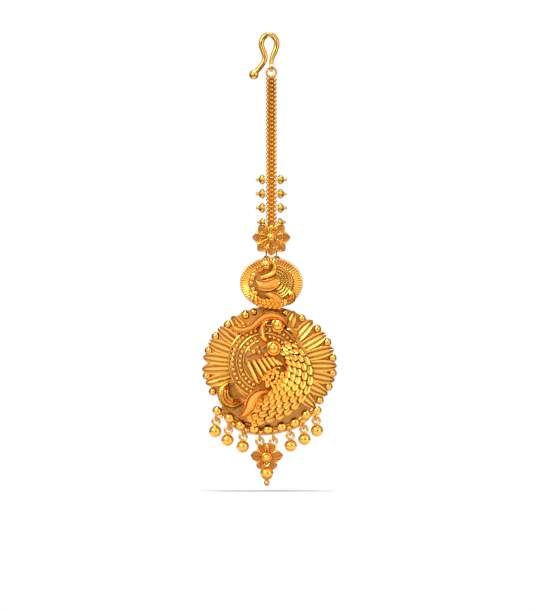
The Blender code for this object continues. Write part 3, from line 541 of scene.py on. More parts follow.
def addOval(bm, width, height, backY, frontY, z, x=0.0, segments=64, bevel=0.15, shade=0.1):
    disc = newShape()
    place = Matrix.Translation((x, (backY + frontY) / 2, z)) @ turned(x=90)
    place = place @ Matrix.Diagonal((width / 2, height / 2, 1, 1))
    deep = backY - frontY
    bmesh.ops.create_cone(
        disc, cap_ends=True, segments=segments, radius1=1, radius2=1, depth=deep, matrix=place
    )
    rims = [edge for edge in disc.edges if abs(edge.verts[0].co.y - edge.verts[1].co.y) < 0.01]
    bmesh.ops.bevel(
        disc, geom=rims, offset=bevel, segments=2, profile=0.5, affect="EDGES", material=-1
    )
    # painted shade over the whole disc, as much as shade says
    for vert in disc.verts:
        vert[disc.verts.layers.float["matte"]] = 1.0
        vert[disc.verts.layers.float["shade"]] = shade
    join(bm, disc)


def onOval(degrees, share, look):
    x, z = polar(degrees, share)
    return x * look["width"] / 2, z * look["height"] / 2


def addRod(bm, start, end, radius, sides=8):
    start, end = Vector(start), Vector(end)
    turn = (end - start).to_track_quat("Z", "Y").to_matrix().to_4x4()
    place = Matrix.Translation((start + end) / 2) @ turn
    length = (end - start).length
    bmesh.ops.create_cone(
        bm, cap_ends=True, segments=sides, radius1=radius, radius2=radius, depth=length, matrix=place
    )


def makeSmallMedallion(finish):
    bm, look = newShape(), smallLook
    z, y = heights["small"], look["rodY"]
    width, height = look["width"], look["height"]
    share = look["plate"]
    addOval(bm, width * share, height * share, look["backY"], look["frontY"] + 0.2, z)
    share = look["backing"]
    # a backing painted with shade, dark in the gaps between the rods
    addOval(bm, width * share, height * share, y + 0.4, y + 0.1, z, shade=0.9)
    for i in range(look["rods"]):
        degrees = 360 * (i + 0.5) / look["rods"]
        (x, up), (x2, up2) = onOval(degrees, look["rodInner"], look), onOval(degrees, 0.955, look)
        addRod(bm, (x, y - 0.25, z + up), (x2, y, z + up2), look["rodWire"] / 2)
        addBead(bm, (x2, y, z + up2), look["rodBead"], sides=10, bands=8)
    for i in range(look["grains"]):
        x, up = onOval(360 * i / look["grains"], look["rodInner"] - 0.02, look)
        addBead(bm, (x, y - 0.38, z + up), look["grain"], sides=8, bands=6)
    for side in (-1, 1):
        x, top = side * flowerLook["eyelets"], heights["firstHinge"]
        addRing(bm, (x, 0, top - look["ring"]), look["ring"], look["ringWire"], steps=28)
        x, low = side * look["eyelets"], heights["secondHinge"]
        addEyelet(bm, x, low, flowerLook["eyelet"], flowerLook["wire"], z + (low - z) * 0.6)
    finishPiece("smallMedallionDressed", bm, "small_pendant", finish, ["small_medallion"])


# Shared outlines of laid forms: (share of the route, width, height)
crescent = ((0, 0.2, 0.6), (0.2, 0.75, 1), (0.45, 1, 1), (0.7, 1, 0.85), (1, 0.7, 0.5))
leafy = ((0, 0.12, 0.5), (0.25, 0.8, 1), (0.55, 1, 1), (0.8, 0.8, 1), (1, 0.1, 0.6))
blade = ((0, 0.12, 0.5), (0.25, 0.8, 1), (0.5, 1, 1), (0.8, 0.75, 1), (1, 0.08, 0.6))


def layForm(bm, form, seat, across, up):
    route = moved(form["route"], across, up)
    steps = form.get("steps", 20)
    addRelief(bm, route, form["width"], form["height"], seat, form["shape"], form["profile"], steps)


# Bird on the small medallion: places in mm from the medallion's centre
smallBird = dict(
    seat=-1.55,
    field=(11.4, 9.2),
    head=((-1.28, 4.71), 0.98),
    forms=dict(
        neck=dict(
            width=1.9,
            height=2.1,
            shape=crescent,
            profile=halfRound,
            steps=18,
            route=[
                (-0.13, 5.87), (0.57, 5.23), (0.93, 4.30), (0.80, 3.37), (0.20, 2.56),
                (-1.08, 1.92), (-2.70, 1.40),
            ],
        ),
        beak=dict(
            width=0.8,
            height=1.2,
            shape=leafy,
            profile=halfRound,
            steps=10,
            route=[(-1.87, 3.90), (-2.36, 3.49), (-2.99, 3.12), (-3.66, 2.73)],
        ),
        body=dict(
            width=3.4,
            height=1.25,
            shape=leafy,
            profile=broadRim,
            route=[(-3.98, 0.59), (-2.70, -0.46), (-0.85, -0.57), (1.01, 0.24), (2.23, 0.94)],
        ),
        facet=dict(
            width=1.4,
            height=1.6,
            shape=leafy,
            profile=brightFacet,
            steps=8,
            route=[(-0.21, -1.10), (1.01, -0.40), (2.17, 0.22)],
        ),
        leaf=dict(
            width=2.6,
            height=1.45,
            shape=leafy,
            profile=broadRim,
            route=[(-1.66, -2.84), (-0.03, -3.13), (1.24, -3.82), (2.23, -4.75), (3.2, -5.75)],
        ),
        curl=dict(
            width=1.9,
            height=1.3,
            shape=leafy,
            profile=fourGrooves,
            steps=24,
            route=[
                (2.52, -4.08), (3.22, -4.75), (4.14, -4.98), (5.05, -4.52), (5.51, -3.59),
                (5.13, -2.60), (4.32, -2.14),
            ],
        ),
    ),
    fanAt=(0.89, 0.30),
    fanRadii=(1.35, 2.15, 2.95, 3.75, 4.4),
    fanSpan=(-78, 82),
    fanWire=0.36,
    grain=0.24,
    pebble=0.68,
    pebbles=[(-4.97, 1.17), (-5.22, 0.03), (-4.82, -1.62), (-4.10, -2.60), (-4.62, 2.04)],
    tail=dict(
        width=2.3,
        ranks=8,
        rows=3,
        length=2.0,
        broad=1.1,
        base=0.45,
        crown=0.5,
        lift=0.5,
        route=[
            (-5.37, -1.85), (-4.68, -3.48), (-3.40, -4.6), (-1.78, -5.15), (0.08, -5.45),
            (1.5, -5.6),
        ],
    ),
)
featherLook = dict(
    height=0.45,
    clear=1.75,  # of the leaf's middle line
    shape=(
        (0, 0.5, 0.7), (0.35, 0.9, 0.85), (0.62, 1, 1), (0.82, 0.86, 1), (0.94, 0.5, 0.9),
        (1, 0.12, 0.6),
    ),
)


def addFeather(bm, place, heading, length, width, base, lift):
    look = featherLook
    route = [tuple(place), tuple(place + heading * length)]
    # painted shade over each feather's root, which the rank before it covers
    addRelief(bm, route, width, look["height"], base, look["shape"], featherProfile, 6, lift, 0.9)


def addScales(bm, tail, seat, across, up, leaf=()):
    route = moved(tail["route"], across, up)
    for rank in range(tail["ranks"]):  # each rank lies over the roots of the next
        for row in range(tail["rows"]):
            t = (rank + 0.5 * (row % 2)) / tail["ranks"]
            side = 2 * (row + 0.5) / tail["rows"] - 1
            heading = headingAt(route, t)
            normal = Vector((heading.y, -heading.x))
            wide = tail["width"] * min(1, 0.45 + 1.6 * t)
            place = Vector(alongRoute(route, t)) + normal * (side * wide * 0.5)
            middle = place + heading * (tail["length"] / 2)
            if any((middle - Vector(spot)).length < featherLook["clear"] for spot in leaf):
                continue  # the leaf lies here
            out = seat - tail["base"] * (1 - tail["crown"] * side * side)
            size = 0.72 + 0.28 * min(1, 2.2 * t)
            length, broad = tail["length"] * size, tail["broad"] * size
            addFeather(bm, place, heading, length, broad, out, tail["lift"])


def makeSmallBird(finish):
    bm, look = newShape(), smallBird
    z, seat = heights["small"], look["seat"]
    # the field behind the bird is painted with shade
    addOval(bm, *look["field"], seat + 0.7, seat - 0.25, z, bevel=0.2, shade=0.55)
    for form in look["forms"].values():
        layForm(bm, form, seat, 0, z)
    for i in range(12):
        x, up = alongRoute(look["forms"]["neck"]["route"], 0.52 + 0.04 * i)
        addBead(bm, (x, seat - 1.3, z + up), look["grain"], sides=8, bands=6)
    (x, up), radius = look["head"]
    addRing(bm, (x, seat - 0.8, z + up), radius * 0.95, 0.5, steps=26)
    addBead(bm, (x, seat - 1.15, z + up), radius, sides=26, bands=18)
    centre = (look["fanAt"][0], look["fanAt"][1] + z)
    first, last = look["fanSpan"]
    radii = look["fanRadii"]
    for reach in radii:
        addWire(bm, arcRoute(centre, reach, first, last), look["fanWire"], seat - 0.55, 24)
    for inner, outer in zip(radii, radii[1:]):
        between = (inner + outer) / 2
        count = int(between * 5.2)
        for k in range(count):
            x, up = polar(first + (last - first) * (k + 0.5) / count, between, centre)
            addBead(bm, (x, seat - 0.4, up), look["grain"], sides=8, bands=6)
    for x, up in look["pebbles"]:
        addBead(bm, (x, seat - 0.6, z + up), look["pebble"], (1, 0.8, 0.85), 16, 12)
    addScales(bm, look["tail"], seat, 0, z)
    finishPiece("smallBirdDressed", bm, "small_pendant", finish, ["small_peacock"])


# Main medallion
mainLook = dict(
    sidestep=-0.5,
    radius=17.5,
    plate=13.3,
    backY=0.92,
    plateY=-0.2,
    backingY=-0.8,
    coreY=-1.3,
    core=10.3,
    petal=8.4,
    petalWidth=3.45,
    petals=[
        (127, 0.93), (143, 0.955), (158, 0.98), (172, 0.995), (182.5, 1.0), (195, 0.98),
        (66, 0.9), (47, 0.935), (30, 0.97), (15, 0.99), (0.5, 1.0), (-12, 0.99), (-26, 0.96),
        (-42, 0.91),
    ],
    petalStations=(
        (0, 0.5, 0.8), (0.25, 0.85, 1), (0.45, 1, 1), (0.66, 0.98, 0.95), (0.81, 0.78, 0.85),
        (0.93, 0.4, 0.65), (1, 0.05, 0.4),
    ),
    rimBead=1.0,
    rimBeads=[
        (106, 0.84, 0.95), (115, 0.84, 1.2), (135, 0.875, 1.0), (151, 0.915, 1.0),
        (165.5, 0.93, 1.0), (188.5, 0.94, 1.0), (204, 0.92, 1.0), (74, 0.83, 0.95),
        (56, 0.855, 1.0), (38, 0.9, 1.0), (22.5, 0.93, 1.0), (7.5, 0.945, 1.0), (-6, 0.945, 1.0),
        (-19, 0.93, 1.0), (-34, 0.9, 1.0),
    ],
    arcBead=1.36,
    arcBeads=[
        (-139.5, 1.02, 0.9), (-127.8, 0.969, 1.0), (-116.2, 0.972, 1.0), (-103.8, 0.956, 1.0),
        (-91.4, 0.937, 1.0), (-78.6, 0.915, 1.0), (-65.7, 0.915, 1.0), (-52.8, 0.9, 1.0),
        (-43.2, 0.965, 0.88),
    ],
    arcY=-0.44,
    arcWire=0.9,
    strips=((1.12, 0.78), (-1.02, 0.5)),  # outwards from the beads, and wire
    web=(1.5, 3.0, 0.5, 0.2, ((0, 0.5, 1), (0.2, 1, 1), (1, 1, 1))),
    arcSeed=(0.75, 0.55, 0.52),  # outwards, to the front, and radius
    drops=[  # places in main radii, and lean in degrees
        (-0.789, -0.772, 5), (-0.606, -0.902, 5), (-0.389, -0.997, 2), (0.309, -0.983, -2),
        (0.509, -0.887, -3), (0.691, -0.760, -4),
    ],
    flowerLinks=[(-0.143, -1.066), (0.06, -1.066)],
    dropEyelet=0.72,
    dropEyeletWire=0.6,
)


def mainCentre():
    return mainLook["sidestep"], heights["main"]


def mainSpot(across, up):
    x, z = mainCentre()
    return x + across * mainLook["radius"], z + up * mainLook["radius"]


def arcHeight(x):
    # height of the bead arc above or below x
    places = [mainSpot(*polar(degrees, reach)) for degrees, reach, size in mainLook["arcBeads"]]
    for (left, leftZ), (right, rightZ) in zip(places, places[1:]):
        if x < right:
            return leftZ + max((x - left) / (right - left), 0) * (rightZ - leftZ)
    return places[-1][1]


def addPlates(bm, x, z):
    look = mainLook
    plate, core = 2 * look["plate"], 2 * look["core"]
    backY, plateY = look["backY"], look["plateY"]
    addOval(bm, plate, plate, backY, plateY - 0.3, z, x, 96, 0.3)
    addOval(bm, plate * 0.8, plate * 0.78, backY - 0.12, plateY, z - 4.4, x, 72, 0.2)
    addOval(bm, plate * 1.17, plate * 1.17, plateY, look["backingY"] + 0.2, z, x, 96, 0.12)
    addOval(bm, core, core, plateY - 0.1, look["coreY"], z, x, 80, 0.1)


def addSunburst(bm, x, z):
    look = mainLook
    base = (look["plateY"] + look["backingY"]) / 2
    size = (look["petalWidth"], base - look["coreY"], base)
    for degrees, reach in look["petals"]:
        tip = look["radius"] * reach
        route = [polar(degrees, tip - look["petal"] * (1 - share)) for share in (0, 0.5, 1)]
        addRelief(bm, moved(route, x, z), *size, look["petalStations"], threeRidges, 16)
    for degrees, reach, share in look["rimBeads"]:
        across, up = polar(degrees, look["radius"] * reach)
        radius = look["rimBead"] * share
        y = look["coreY"] + radius
        addBead(bm, (x + across, y, z + up), radius, sides=20, bands=14)
        addRing(bm, (x + across, y + 0.3, z + up), radius * 0.98, 0.3, steps=18, sides=6)


def shifted(places, out, x, z):
    # places moved outwards from the medallion's centre
    ways = [Vector((across - x, up - z)).normalized() * out for across, up in places]
    return [(across + way.x, up + way.y) for (across, up), way in zip(places, ways)]


def addArc(bm, x, z):
    look = mainLook
    y = look["arcY"]
    places = [mainSpot(*polar(degrees, reach)) for degrees, reach, size in look["arcBeads"]]
    addWire(bm, places, look["arcWire"], y, 48)
    for out, wire in look["strips"]:
        addWire(bm, shifted(places, out, x, z)[1:-1], wire, y + 0.1, 48)
    inward, *size, shape = look["web"]  # a web behind the beads, up to the plate, dark with painted shade
    addRelief(bm, shifted(places[:-1], -inward, x, z), *size, shape, webProfile, 40)
    for (across, up), (degrees, reach, share) in zip(places, look["arcBeads"]):
        tilt = turned(y=-(degrees + 90))
        radius = look["arcBead"] * share
        addBead(bm, (across, y, up), radius, (1.06, 1, 0.97), 24, 16, tilt)
    out, front, radius = look["arcSeed"]
    for (left, leftZ), (right, rightZ) in zip(places, places[1:]):
        middle = [((left + right) / 2, (leftZ + rightZ) / 2)]
        across, up = shifted(middle, out, x, z)[0]
        addBead(bm, (across, y - front, up), radius, sides=12, bands=8)
    for spot in [drop[:2] for drop in look["drops"]] + look["flowerLinks"]:
        spotX, spotZ = mainSpot(*spot)
        addEyelet(bm, spotX, spotZ, look["dropEyelet"], look["dropEyeletWire"], arcHeight(spotX))


def makeMainMedallion(finish):
    bm = newShape()
    x, z = mainCentre()
    addPlates(bm, x, z)
    addSunburst(bm, x, z)
    addArc(bm, x, z)
    for side in (-1, 1):
        at = (side * smallLook["eyelets"], 0, heights["secondHinge"] - smallLook["ring"])
        addRing(bm, at, smallLook["ring"], smallLook["ringWire"], steps=28)
    finishPiece("mainMedallionDressed", bm, "main_pendant", finish, ["main_medallion"])


# Bird on the main medallion: places in mm from the medallion's centre
mainBird = dict(
    seat=-1.3,
    field=19.9,
    fieldShade=0.22,
    filigreeAt=(-1.05, 1.14),
    filigreeWire=0.5,
    filigree=[(9.6, 20, 246), (7.5, 52, 250), (5.75, 108, 236)],  # radius, first and last degree
    granuleRows=[(8.55, 22, 244, 0.52), (6.62, 48, 242, 0.5), (10.6, 100, 135, 0.44)],
    granulePitch=1.24,
    head=((2.19, 10.71), 1.42, 1.9),
    throat=((1.11, 4.70), 1.48, 1.8),
    tail=dict(
        width=8.0,
        ranks=14,
        rows=5,
        length=2.9,
        broad=1.75,
        base=0.85,
        crown=0.55,
        lift=0.95,
        height=0.9,
        shape=(
            (0, 0.3, 0.5), (0.15, 0.7, 0.9), (0.35, 1, 1), (0.65, 1, 1), (0.85, 0.9, 0.9),
            (1, 0.6, 0.6),
        ),
        profile=halfRound,
        steps=30,
        route=[
            (3.02, 5.34), (5.53, 3.79), (7.20, 0.92), (7.44, -2.42), (6.49, -5.28), (4.34, -7.91),
            (1.71, -9.70), (-1.87, -10.78), (-4.02, -11.49),
        ],
    ),
    forms=dict(
        plume=dict(
            width=2.2,
            height=2.0,
            shape=(
                (0, 0.35, 0.6), (0.08, 0.8, 0.9), (0.25, 0.9, 1), (0.45, 1, 1), (0.65, 0.95, 1),
                (0.85, 0.66, 1), (1, 0.1, 0.7),
            ),
            profile=broadRim,
            steps=44,
            route=[
                (-9.46, 10.48), (-8.08, 9.52), (-6.17, 9.64), (-4.26, 10.5), (-2.82, 11.85),
                (-1.39, 12.88), (0.28, 13.3), (1.95, 13.12), (3.26, 12.5), (4.10, 11.55),
                (4.48, 10.12),
            ],
        ),
        headArc=dict(
            width=0.5,
            height=2.1,
            shape=((0, 0.4, 0.8), (0.3, 1, 1), (0.8, 1, 1), (1, 0.4, 0.8)),
            profile=halfRound,
            route=[
                (-2.11, 11.0), (-1.03, 11.85), (0.52, 12.3), (2.19, 12.3), (3.50, 11.6),
                (3.98, 10.4),
            ],
        ),
        neck=dict(
            width=2.1,
            height=2.5,
            shape=(
                (0, 0.15, 0.8), (0.2, 0.6, 1), (0.5, 1, 1), (0.72, 1, 1), (0.88, 0.7, 0.9),
                (1, 0.12, 0.7),
            ),
            profile=halfRound,
            steps=26,
            route=[
                (0.33, 11.91), (-1.11, 11.36), (-1.80, 10.12), (-1.92, 8.68), (-1.44, 7.37),
                (-0.32, 6.46),
            ],
        ),
        beak=dict(
            width=1.6,
            height=2.1,
            shape=blade,
            profile=brightFacet,
            route=[(3.50, 9.33), (4.62, 9.95), (5.82, 9.64), (6.68, 8.57), (7.06, 6.85)],
        ),
        throatLeaf=dict(
            width=0.85,
            height=1.5,
            shape=blade,
            profile=halfRound,
            steps=14,
            route=[(-2.78, 5.27), (-1.63, 5.17), (-0.63, 5.70), (0.33, 7.01)],
        ),
        wingRim=dict(
            width=0.42,
            height=1.1,
            shape=((0, 0.6, 0.9), (0.5, 1, 1), (1, 0.6, 0.9)),
            profile=halfRound,
            steps=24,
            route=[
                (-5.93, 2.48), (-4.02, 3.12), (-1.87, 3.36), (0.28, 3.19), (1.95, 2.12),
                (3.50, 0.57),
            ],
        ),
        ribbon=dict(
            width=0.72,
            height=1.55,
            shape=((0, 0.5, 0.9), (0.3, 1, 1), (0.8, 1, 1), (1, 0.3, 0.7)),
            profile=halfRound,
            steps=24,
            route=[
                (-3.02, -4.95), (-2.11, -3.42), (-0.87, -2.06), (0.52, -0.94), (2.00, -0.32),
                (3.86, -0.27),
            ],
        ),
        curl=dict(
            width=3.3,
            height=1.75,
            shape=(
                (0, 0.08, 0.5), (0.14, 0.4, 0.85), (0.32, 0.78, 1), (0.55, 1, 1), (0.76, 0.96, 1),
                (0.92, 0.6, 0.85), (1, 0.1, 0.5),
            ),
            profile=fourGrooves,
            steps=44,
            route=[
                (-8.13, -4.14), (-10.23, -4.38), (-11.61, -5.64), (-11.90, -7.43),
                (-11.30, -8.98), (-9.75, -9.70), (-8.08, -9.29), (-6.22, -8.24),
            ],
        ),
        leaf=dict(
            width=3.9,
            height=2.6,
            shape=(
                (0, 0.1, 0.6), (0.14, 0.48, 1), (0.36, 0.92, 1), (0.55, 1, 1), (0.74, 0.7, 1),
                (0.9, 0.3, 0.9), (1, 0.06, 0.6),
            ),
            profile=broadRim,
            steps=40,
            route=[
                (-7.84, -12.97), (-6.45, -12.33), (-5.16, -10.78), (-4.45, -9.10), (-3.54, -7.67),
                (-2.06, -6.67), (0.52, -6.36),
            ],
        ),
    ),
    barWidth=1.5,
    barHeight=1.35,
    barShape=((0, 0.5, 0.8), (0.12, 0.95, 1), (0.6, 1, 0.95), (0.92, 0.7, 0.8), (1, 0.3, 0.6)),
    wingBars=[
        ((-5.88, 1.59), (-2.94, -4.52), 1.0), ((-4.45, 1.93), (-1.73, -2.90), 0.98),
        ((-3.11, 2.17), (-0.63, -1.75), 0.95), ((-1.87, 2.48), (0.35, -0.79), 0.92),
        ((-0.63, 2.69), (1.38, -0.13), 0.9), ((0.61, 2.50), (2.43, 0.26), 0.85),
        ((1.66, 1.78), (3.34, 0.26), 0.8),
    ],
    stones=[
        ((-4.14, 3.91), 0.72), ((-0.87, 3.19), 0.66), ((-5.21, 4.27), 0.42),
        ((-3.06, 4.98), 0.42), ((-2.59, 3.79), 0.5), ((-1.87, 4.74), 0.4), ((-4.85, 5.46), 0.4),
        ((-3.78, 6.42), 0.38), ((0.04, 9.16), 0.4),
    ],
    clusterAt=(1.35, -3.25),
    clusterReach=(3.0, 2.35),
    clusterCount=21,
)


def addFiligree(bm, x, z):
    look, seat = mainBird, mainBird["seat"]
    centre = (x + look["filigreeAt"][0], z + look["filigreeAt"][1])
    for radius, first, last in look["filigree"]:
        route = arcRoute(centre, radius, first, last, 19)
        addWire(bm, route, look["filigreeWire"], seat - 0.25, 60)
    for radius, first, last, size in look["granuleRows"]:
        count = int(radius * math.radians(last - first) / look["granulePitch"])
        for i in range(count + 1):
            across, up = polar(first + (last - first) * i / count, radius, centre)
            addBead(bm, (across, seat - 0.42, up), size, sides=12, bands=8)


def addBall(bm, x, z, radius, out, seat):
    addRing(bm, (x, seat - out + 0.55, z), radius * 1.08, 0.5, steps=30)
    addOval(bm, 2.2 * radius, 2.2 * radius, seat, seat - out + 0.7, z, x, 28, 0.1)
    addBead(bm, (x, seat - out, z), radius, sides=28, bands=20)


def addCluster(bm, x, z, seat):
    (midX, midZ), (reachX, reachZ) = mainBird["clusterAt"], mainBird["clusterReach"]
    count = mainBird["clusterCount"]
    for i in range(count):  # a spiral of granules, larger towards the outside
        share = math.sqrt((i + 0.5) / count)
        across, up = polar(137.5 * i, share)
        radius = 0.46 + 0.2 * share + 0.05 * (i % 3)
        out = 0.7 + 0.1 * (i % 2)
        at = (x + midX + across * reachX, seat - out, z + midZ + up * reachZ)
        addBead(bm, at, radius, sides=12, bands=9)


def makeMainBird(finish):
    bm, look = newShape(), mainBird
    x, z = mainCentre()
    seat, field = look["seat"], look["field"]
    addFiligree(bm, x, z)
    # the field among the granules is painted with shade
    addOval(bm, field, field, seat + 0.3, seat - 0.03, z, x, 80, 0.1, look["fieldShade"])
    layForm(bm, look["tail"], seat, x, z)
    leaf = moved(look["forms"]["leaf"]["route"], x, z)
    addScales(bm, look["tail"], seat, x, z, [alongRoute(leaf, i / 16) for i in range(15)])
    for form in look["forms"].values():
        layForm(bm, form, seat, x, z)
    for (across, up), radius, out in (look["head"], look["throat"]):
        addBall(bm, x + across, z + up, radius, out, seat)
    for start, end, width in look["wingBars"]:
        bar = dict(route=[start, end], width=width * look["barWidth"], height=look["barHeight"])
        bar.update(shape=look["barShape"], profile=halfRound, steps=12)
        layForm(bm, bar, seat, x, z)
    for (across, up), radius in look["stones"]:
        addBead(bm, (x + across, seat - 0.45, z + up), radius, sides=14, bands=10)
    addCluster(bm, x, z, seat)
    finishPiece("mainBirdDressed", bm, "main_pendant", finish, ["main_peacock"])


# Drops
dropLook = dict(bead=1.6, ring=0.9, wire=0.68)


def makeDrops(finish):
    look = dropLook
    for i, (across, up, lean) in enumerate(mainLook["drops"]):
        bm = newShape()
        addRing(bm, (0, 0, -look["ring"]), look["ring"], look["wire"], steps=28)
        z = -2 * look["ring"] - look["bead"] * 1.03
        addBead(bm, (0, 0, z), look["bead"], sides=32, bands=22)
        addRing(bm, (0, 0, z + look["bead"] * 0.93), 0.42, 0.3, turned(x=90), steps=18)
        x, height = mainSpot(across, up)
        place = Matrix.Translation((x, 0, height)) @ turned(y=lean)
        bmesh.ops.transform(bm, matrix=place, verts=bm.verts)
        node = f"drop_{i + 1}"
        finishPiece(node + "Dressed", bm, "main_pendant", finish, [node], 60)


# Flower drop: places in mm from its centre, petals as degrees, reach, width and shape
flowerDrop = dict(
    at=(-0.04, -1.354),
    radius=3.9,
    petals=[
        (111, 0.97, 3.1, "round"),
        (69, 0.97, 3.1, "round"),
        (172, 1.08, 3.2, "pointed"),
        (8, 1.08, 3.2, "pointed"),
        (-127, 0.92, 2.4, "round"),
        (-53, 0.92, 2.4, "round"),
    ],
    round=(
        (0, 0.25, 0.5), (0.3, 0.7, 0.8), (0.6, 1, 1), (0.8, 0.95, 1), (0.93, 0.66, 1),
        (1, 0.25, 0.9),
    ),
    pointed=(
        (0, 0.25, 0.5), (0.3, 0.75, 0.8), (0.58, 1, 1), (0.78, 0.7, 1), (0.92, 0.3, 1),
        (1, 0.05, 0.9),
    ),
    height=1.2,
    base=0.15,
    front=-0.9,
    rib=(0.4, 1.0, 0.15, ((0, 0.6, 0.8), (1, 0.4, 0.9))),
    centre=1.12,
    lowBead=1.72,
    endBead=0.78,
)


def makeFlowerDrop(finish):
    bm, look = newShape(), flowerDrop
    x, z = mainSpot(*look["at"])
    for degrees, reach, width, shape in look["petals"]:
        tip = look["radius"] * reach
        route = [polar(degrees, reached) for reached in (0.4, (tip + 0.4) / 2, tip)]
        route = moved(route, x, z)
        addRelief(bm, route, width, look["height"], look["base"], look[shape], cuppedPetal, 14)
        rib = moved([polar(degrees, 1.0), polar(degrees, tip * 0.82)], x, z)
        addRelief(bm, rib, *look["rib"], halfRound, 6)
    addRing(bm, (x, look["front"] + 0.1, z), look["centre"], 0.36, steps=28)
    addBead(bm, (x, look["front"], z), look["centre"], sides=28, bands=20)
    low, end = look["lowBead"], look["endBead"]
    lowZ = z - look["radius"] * 0.7 - low * 0.85
    endZ = lowZ - low - end * 0.9
    addBead(bm, (x, 0, lowZ), low, sides=32, bands=22)
    addBead(bm, (x, 0, endZ), end, sides=20, bands=14)
    addRing(bm, (x, 0, endZ + end * 0.9), 0.34, 0.26, turned(x=90), steps=16)
    addRing(bm, (x, -0.15, lowZ + low + 0.1), 0.62, 0.36, turned(x=20), (0.9, 1, 1.15))
    bail = [(x - 0.75, z - 1.5), (x, z - 2.3), (x + 0.75, z - 1.5)]
    addWire(bm, bail, 0.42, -0.95, 14)
    ring = dropLook["ring"]
    for across, up in mainLook["flowerLinks"]:
        linkX, linkZ = mainSpot(across, up)
        addRing(bm, (linkX, 0, linkZ - ring), ring, dropLook["wire"], steps=28)
    finishPiece("flowerDropDressed", bm, "main_pendant", finish, ["flower_drop"])


# Stage, light and camera
stageLook = dict(
    floor=-118.0,
    reach=0.1,
    grey=0.5,
    glow=0.04,
    stepMm=0.26,
    frameWide=533,
    distance=0.8,
    centre=(-0.00127, -0.0698),
    lit=(0, 0, -0.07),
    lamps=[  # place, power, width and height
        ("key", (-0.35, -0.45, 0.28), 1.4, 0.3, 0.3),
        ("fill", (0.5, -0.35, 0.0), 0.5, 0.2, 0.45),
        ("top", (0.0, -0.01, 0.45), 4.2, 0.24, 0.06),
        ("low", (-0.1, -0.4, -0.05), 0.15, 0.2, 0.1),
    ],
)


def makeStage():
    bm = bmesh.new()
    place = Matrix.Translation((0, 0, stageLook["floor"] * 0.001))
    bmesh.ops.create_circle(bm, cap_ends=True, segments=96, radius=stageLook["reach"], matrix=place)
    mesh = bpy.data.meshes.new("floor")
    bm.to_mesh(mesh)
    bm.free()
    floor = bpy.data.objects.new("floor", mesh)
    bpy.context.scene.collection.objects.link(floor)
    paint = bpy.data.materials.new("paleFloor")
    paint.use_nodes = True
    shader = paint.node_tree.nodes["Principled BSDF"]
    shader.inputs["Base Color"].default_value = (*[stageLook["grey"]] * 3, 1)
    shader.inputs["Roughness"].default_value = 0.9
    shader.inputs["Emission Color"].default_value = (1, 1, 1, 1)
    shader.inputs["Emission Strength"].default_value = stageLook["glow"]
    mesh.materials.append(paint)


def addLamp(name, at, power, width, height):
    lamp = bpy.data.lights.new(name, "AREA")
    lamp.energy = power
    lamp.shape = "RECTANGLE"
    lamp.size = width
    lamp.size_y = height
    holder = bpy.data.objects.new(name, lamp)
    holder.location = at
    way = Vector(stageLook["lit"]) - Vector(at)
    holder.rotation_euler = way.to_track_quat("-Z", "Y").to_euler()
    bpy.context.scene.collection.objects.link(holder)


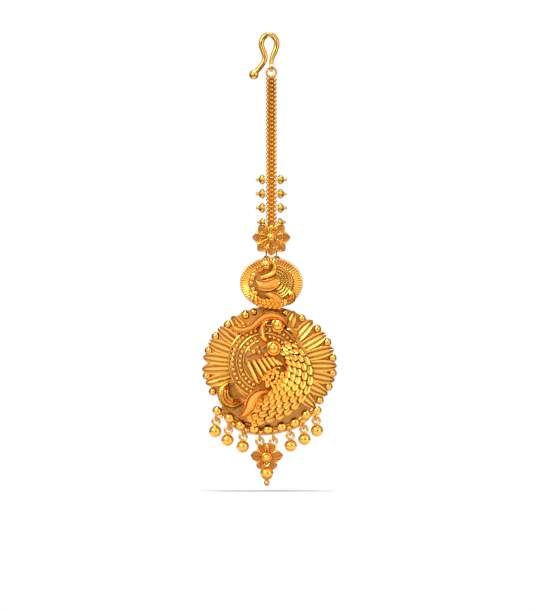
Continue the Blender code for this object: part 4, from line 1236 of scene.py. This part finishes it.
def makeLight():
    world = bpy.data.worlds.new("tent")
    bpy.context.scene.world = world
    world.use_nodes = True
    nodes, links = world.node_tree.nodes, world.node_tree.links
    background = nodes["Background"]
    split = nodes.new("ShaderNodeSeparateXYZ")
    links.new(nodes.new("ShaderNodeTexCoord").outputs["Generated"], split.inputs[0])
    opening = nodes.new("ShaderNodeValToRGB")  # the dark mouth of the tent, where the lens looks in
    stops = opening.color_ramp.elements
    stops[0].position, stops[0].color = 0.0, (0.06, 0.055, 0.05, 1)
    stops[1].position, stops[1].color = 0.2, (1.0, 1.0, 1.0, 1)
    for position, grey in ((0.016, 0.14), (0.04, 0.8), (0.45, 0.75), (0.75, 0.25), (1.0, 0.4)):
        stop = stops.new(position)
        stop.color = (grey, grey, grey, 1)
    links.new(mapRange(nodes, links, split.outputs[1], -1.0, 1.0, 0.0, 1.0), opening.inputs[0])
    above = mapRange(nodes, links, split.outputs[2], -0.5, 0.45, 0.28, 1.12)
    tent = mixColours(nodes, links, 1.0, opening.outputs[0], above, "MULTIPLY")
    lens = nodes.new("ShaderNodeLightPath").outputs["Is Camera Ray"]
    seen = mixColours(nodes, links, lens, tent, (1.0, 1.0, 1.0, 1))
    links.new(seen, background.inputs["Color"])
    background.inputs["Strength"].default_value = 1.0
    for lamp in stageLook["lamps"]:
        addLamp(*lamp)


def makeCamera():
    scene = bpy.context.scene
    lens = bpy.data.cameras.new("front")
    lens.sensor_fit = "HORIZONTAL"
    wide = stageLook["frameWide"] * stageLook["stepMm"] * 0.001
    lens.lens = lens.sensor_width * stageLook["distance"] / wide
    lens.clip_start = 0.01
    holder = bpy.data.objects.new("front", lens)
    x, z = stageLook["centre"]
    holder.location = (x, -stageLook["distance"], z)
    holder.rotation_euler = (math.radians(90), 0, 0)
    scene.collection.objects.link(holder)
    scene.camera = holder
    scene.view_settings.view_transform = "Standard"
    scene.view_settings.look = "None"


# roughness where polished and where satin, then crest, hollow and depth of the painted shade
goldLooks = dict(
    polishedGold=(0.1, 0.4),
    wovenGold=(0.2, 0.4, -0.4, 0.0, 0.4),
    flowerGold=(0.14, 0.46, -1.75, -1.1, 0.3),
    frameGold=(0.17, 0.42, -1.25, -0.7, 0.6),
    sunburstGold=(0.18, 0.42, -1.2, -0.85, 0.55),
    reliefGold=(0.14, 0.6, -2.3, -1.3, 0.3),
    smallReliefGold=(0.14, 0.54, -2.4, -1.6, 0.42),
    flowerDropGold=(0.13, 0.46, -0.95, -0.2, 0.3),
)


def makeAll():
    gold = {name: goldFinish(name, *look) for name, look in goldLooks.items()}
    makeHook(gold["polishedGold"])
    makeChain(gold["wovenGold"])
    makeSpikeBeads(gold["polishedGold"])
    makeFlower(gold["flowerGold"])
    makeSmallMedallion(gold["frameGold"])
    makeSmallBird(gold["smallReliefGold"])
    makeMainMedallion(gold["sunburstGold"])
    makeMainBird(gold["reliefGold"])
    makeDrops(gold["polishedGold"])
    makeFlowerDrop(gold["flowerDropGold"])


makeAll()
makeStage()
makeLight()
makeCamera()
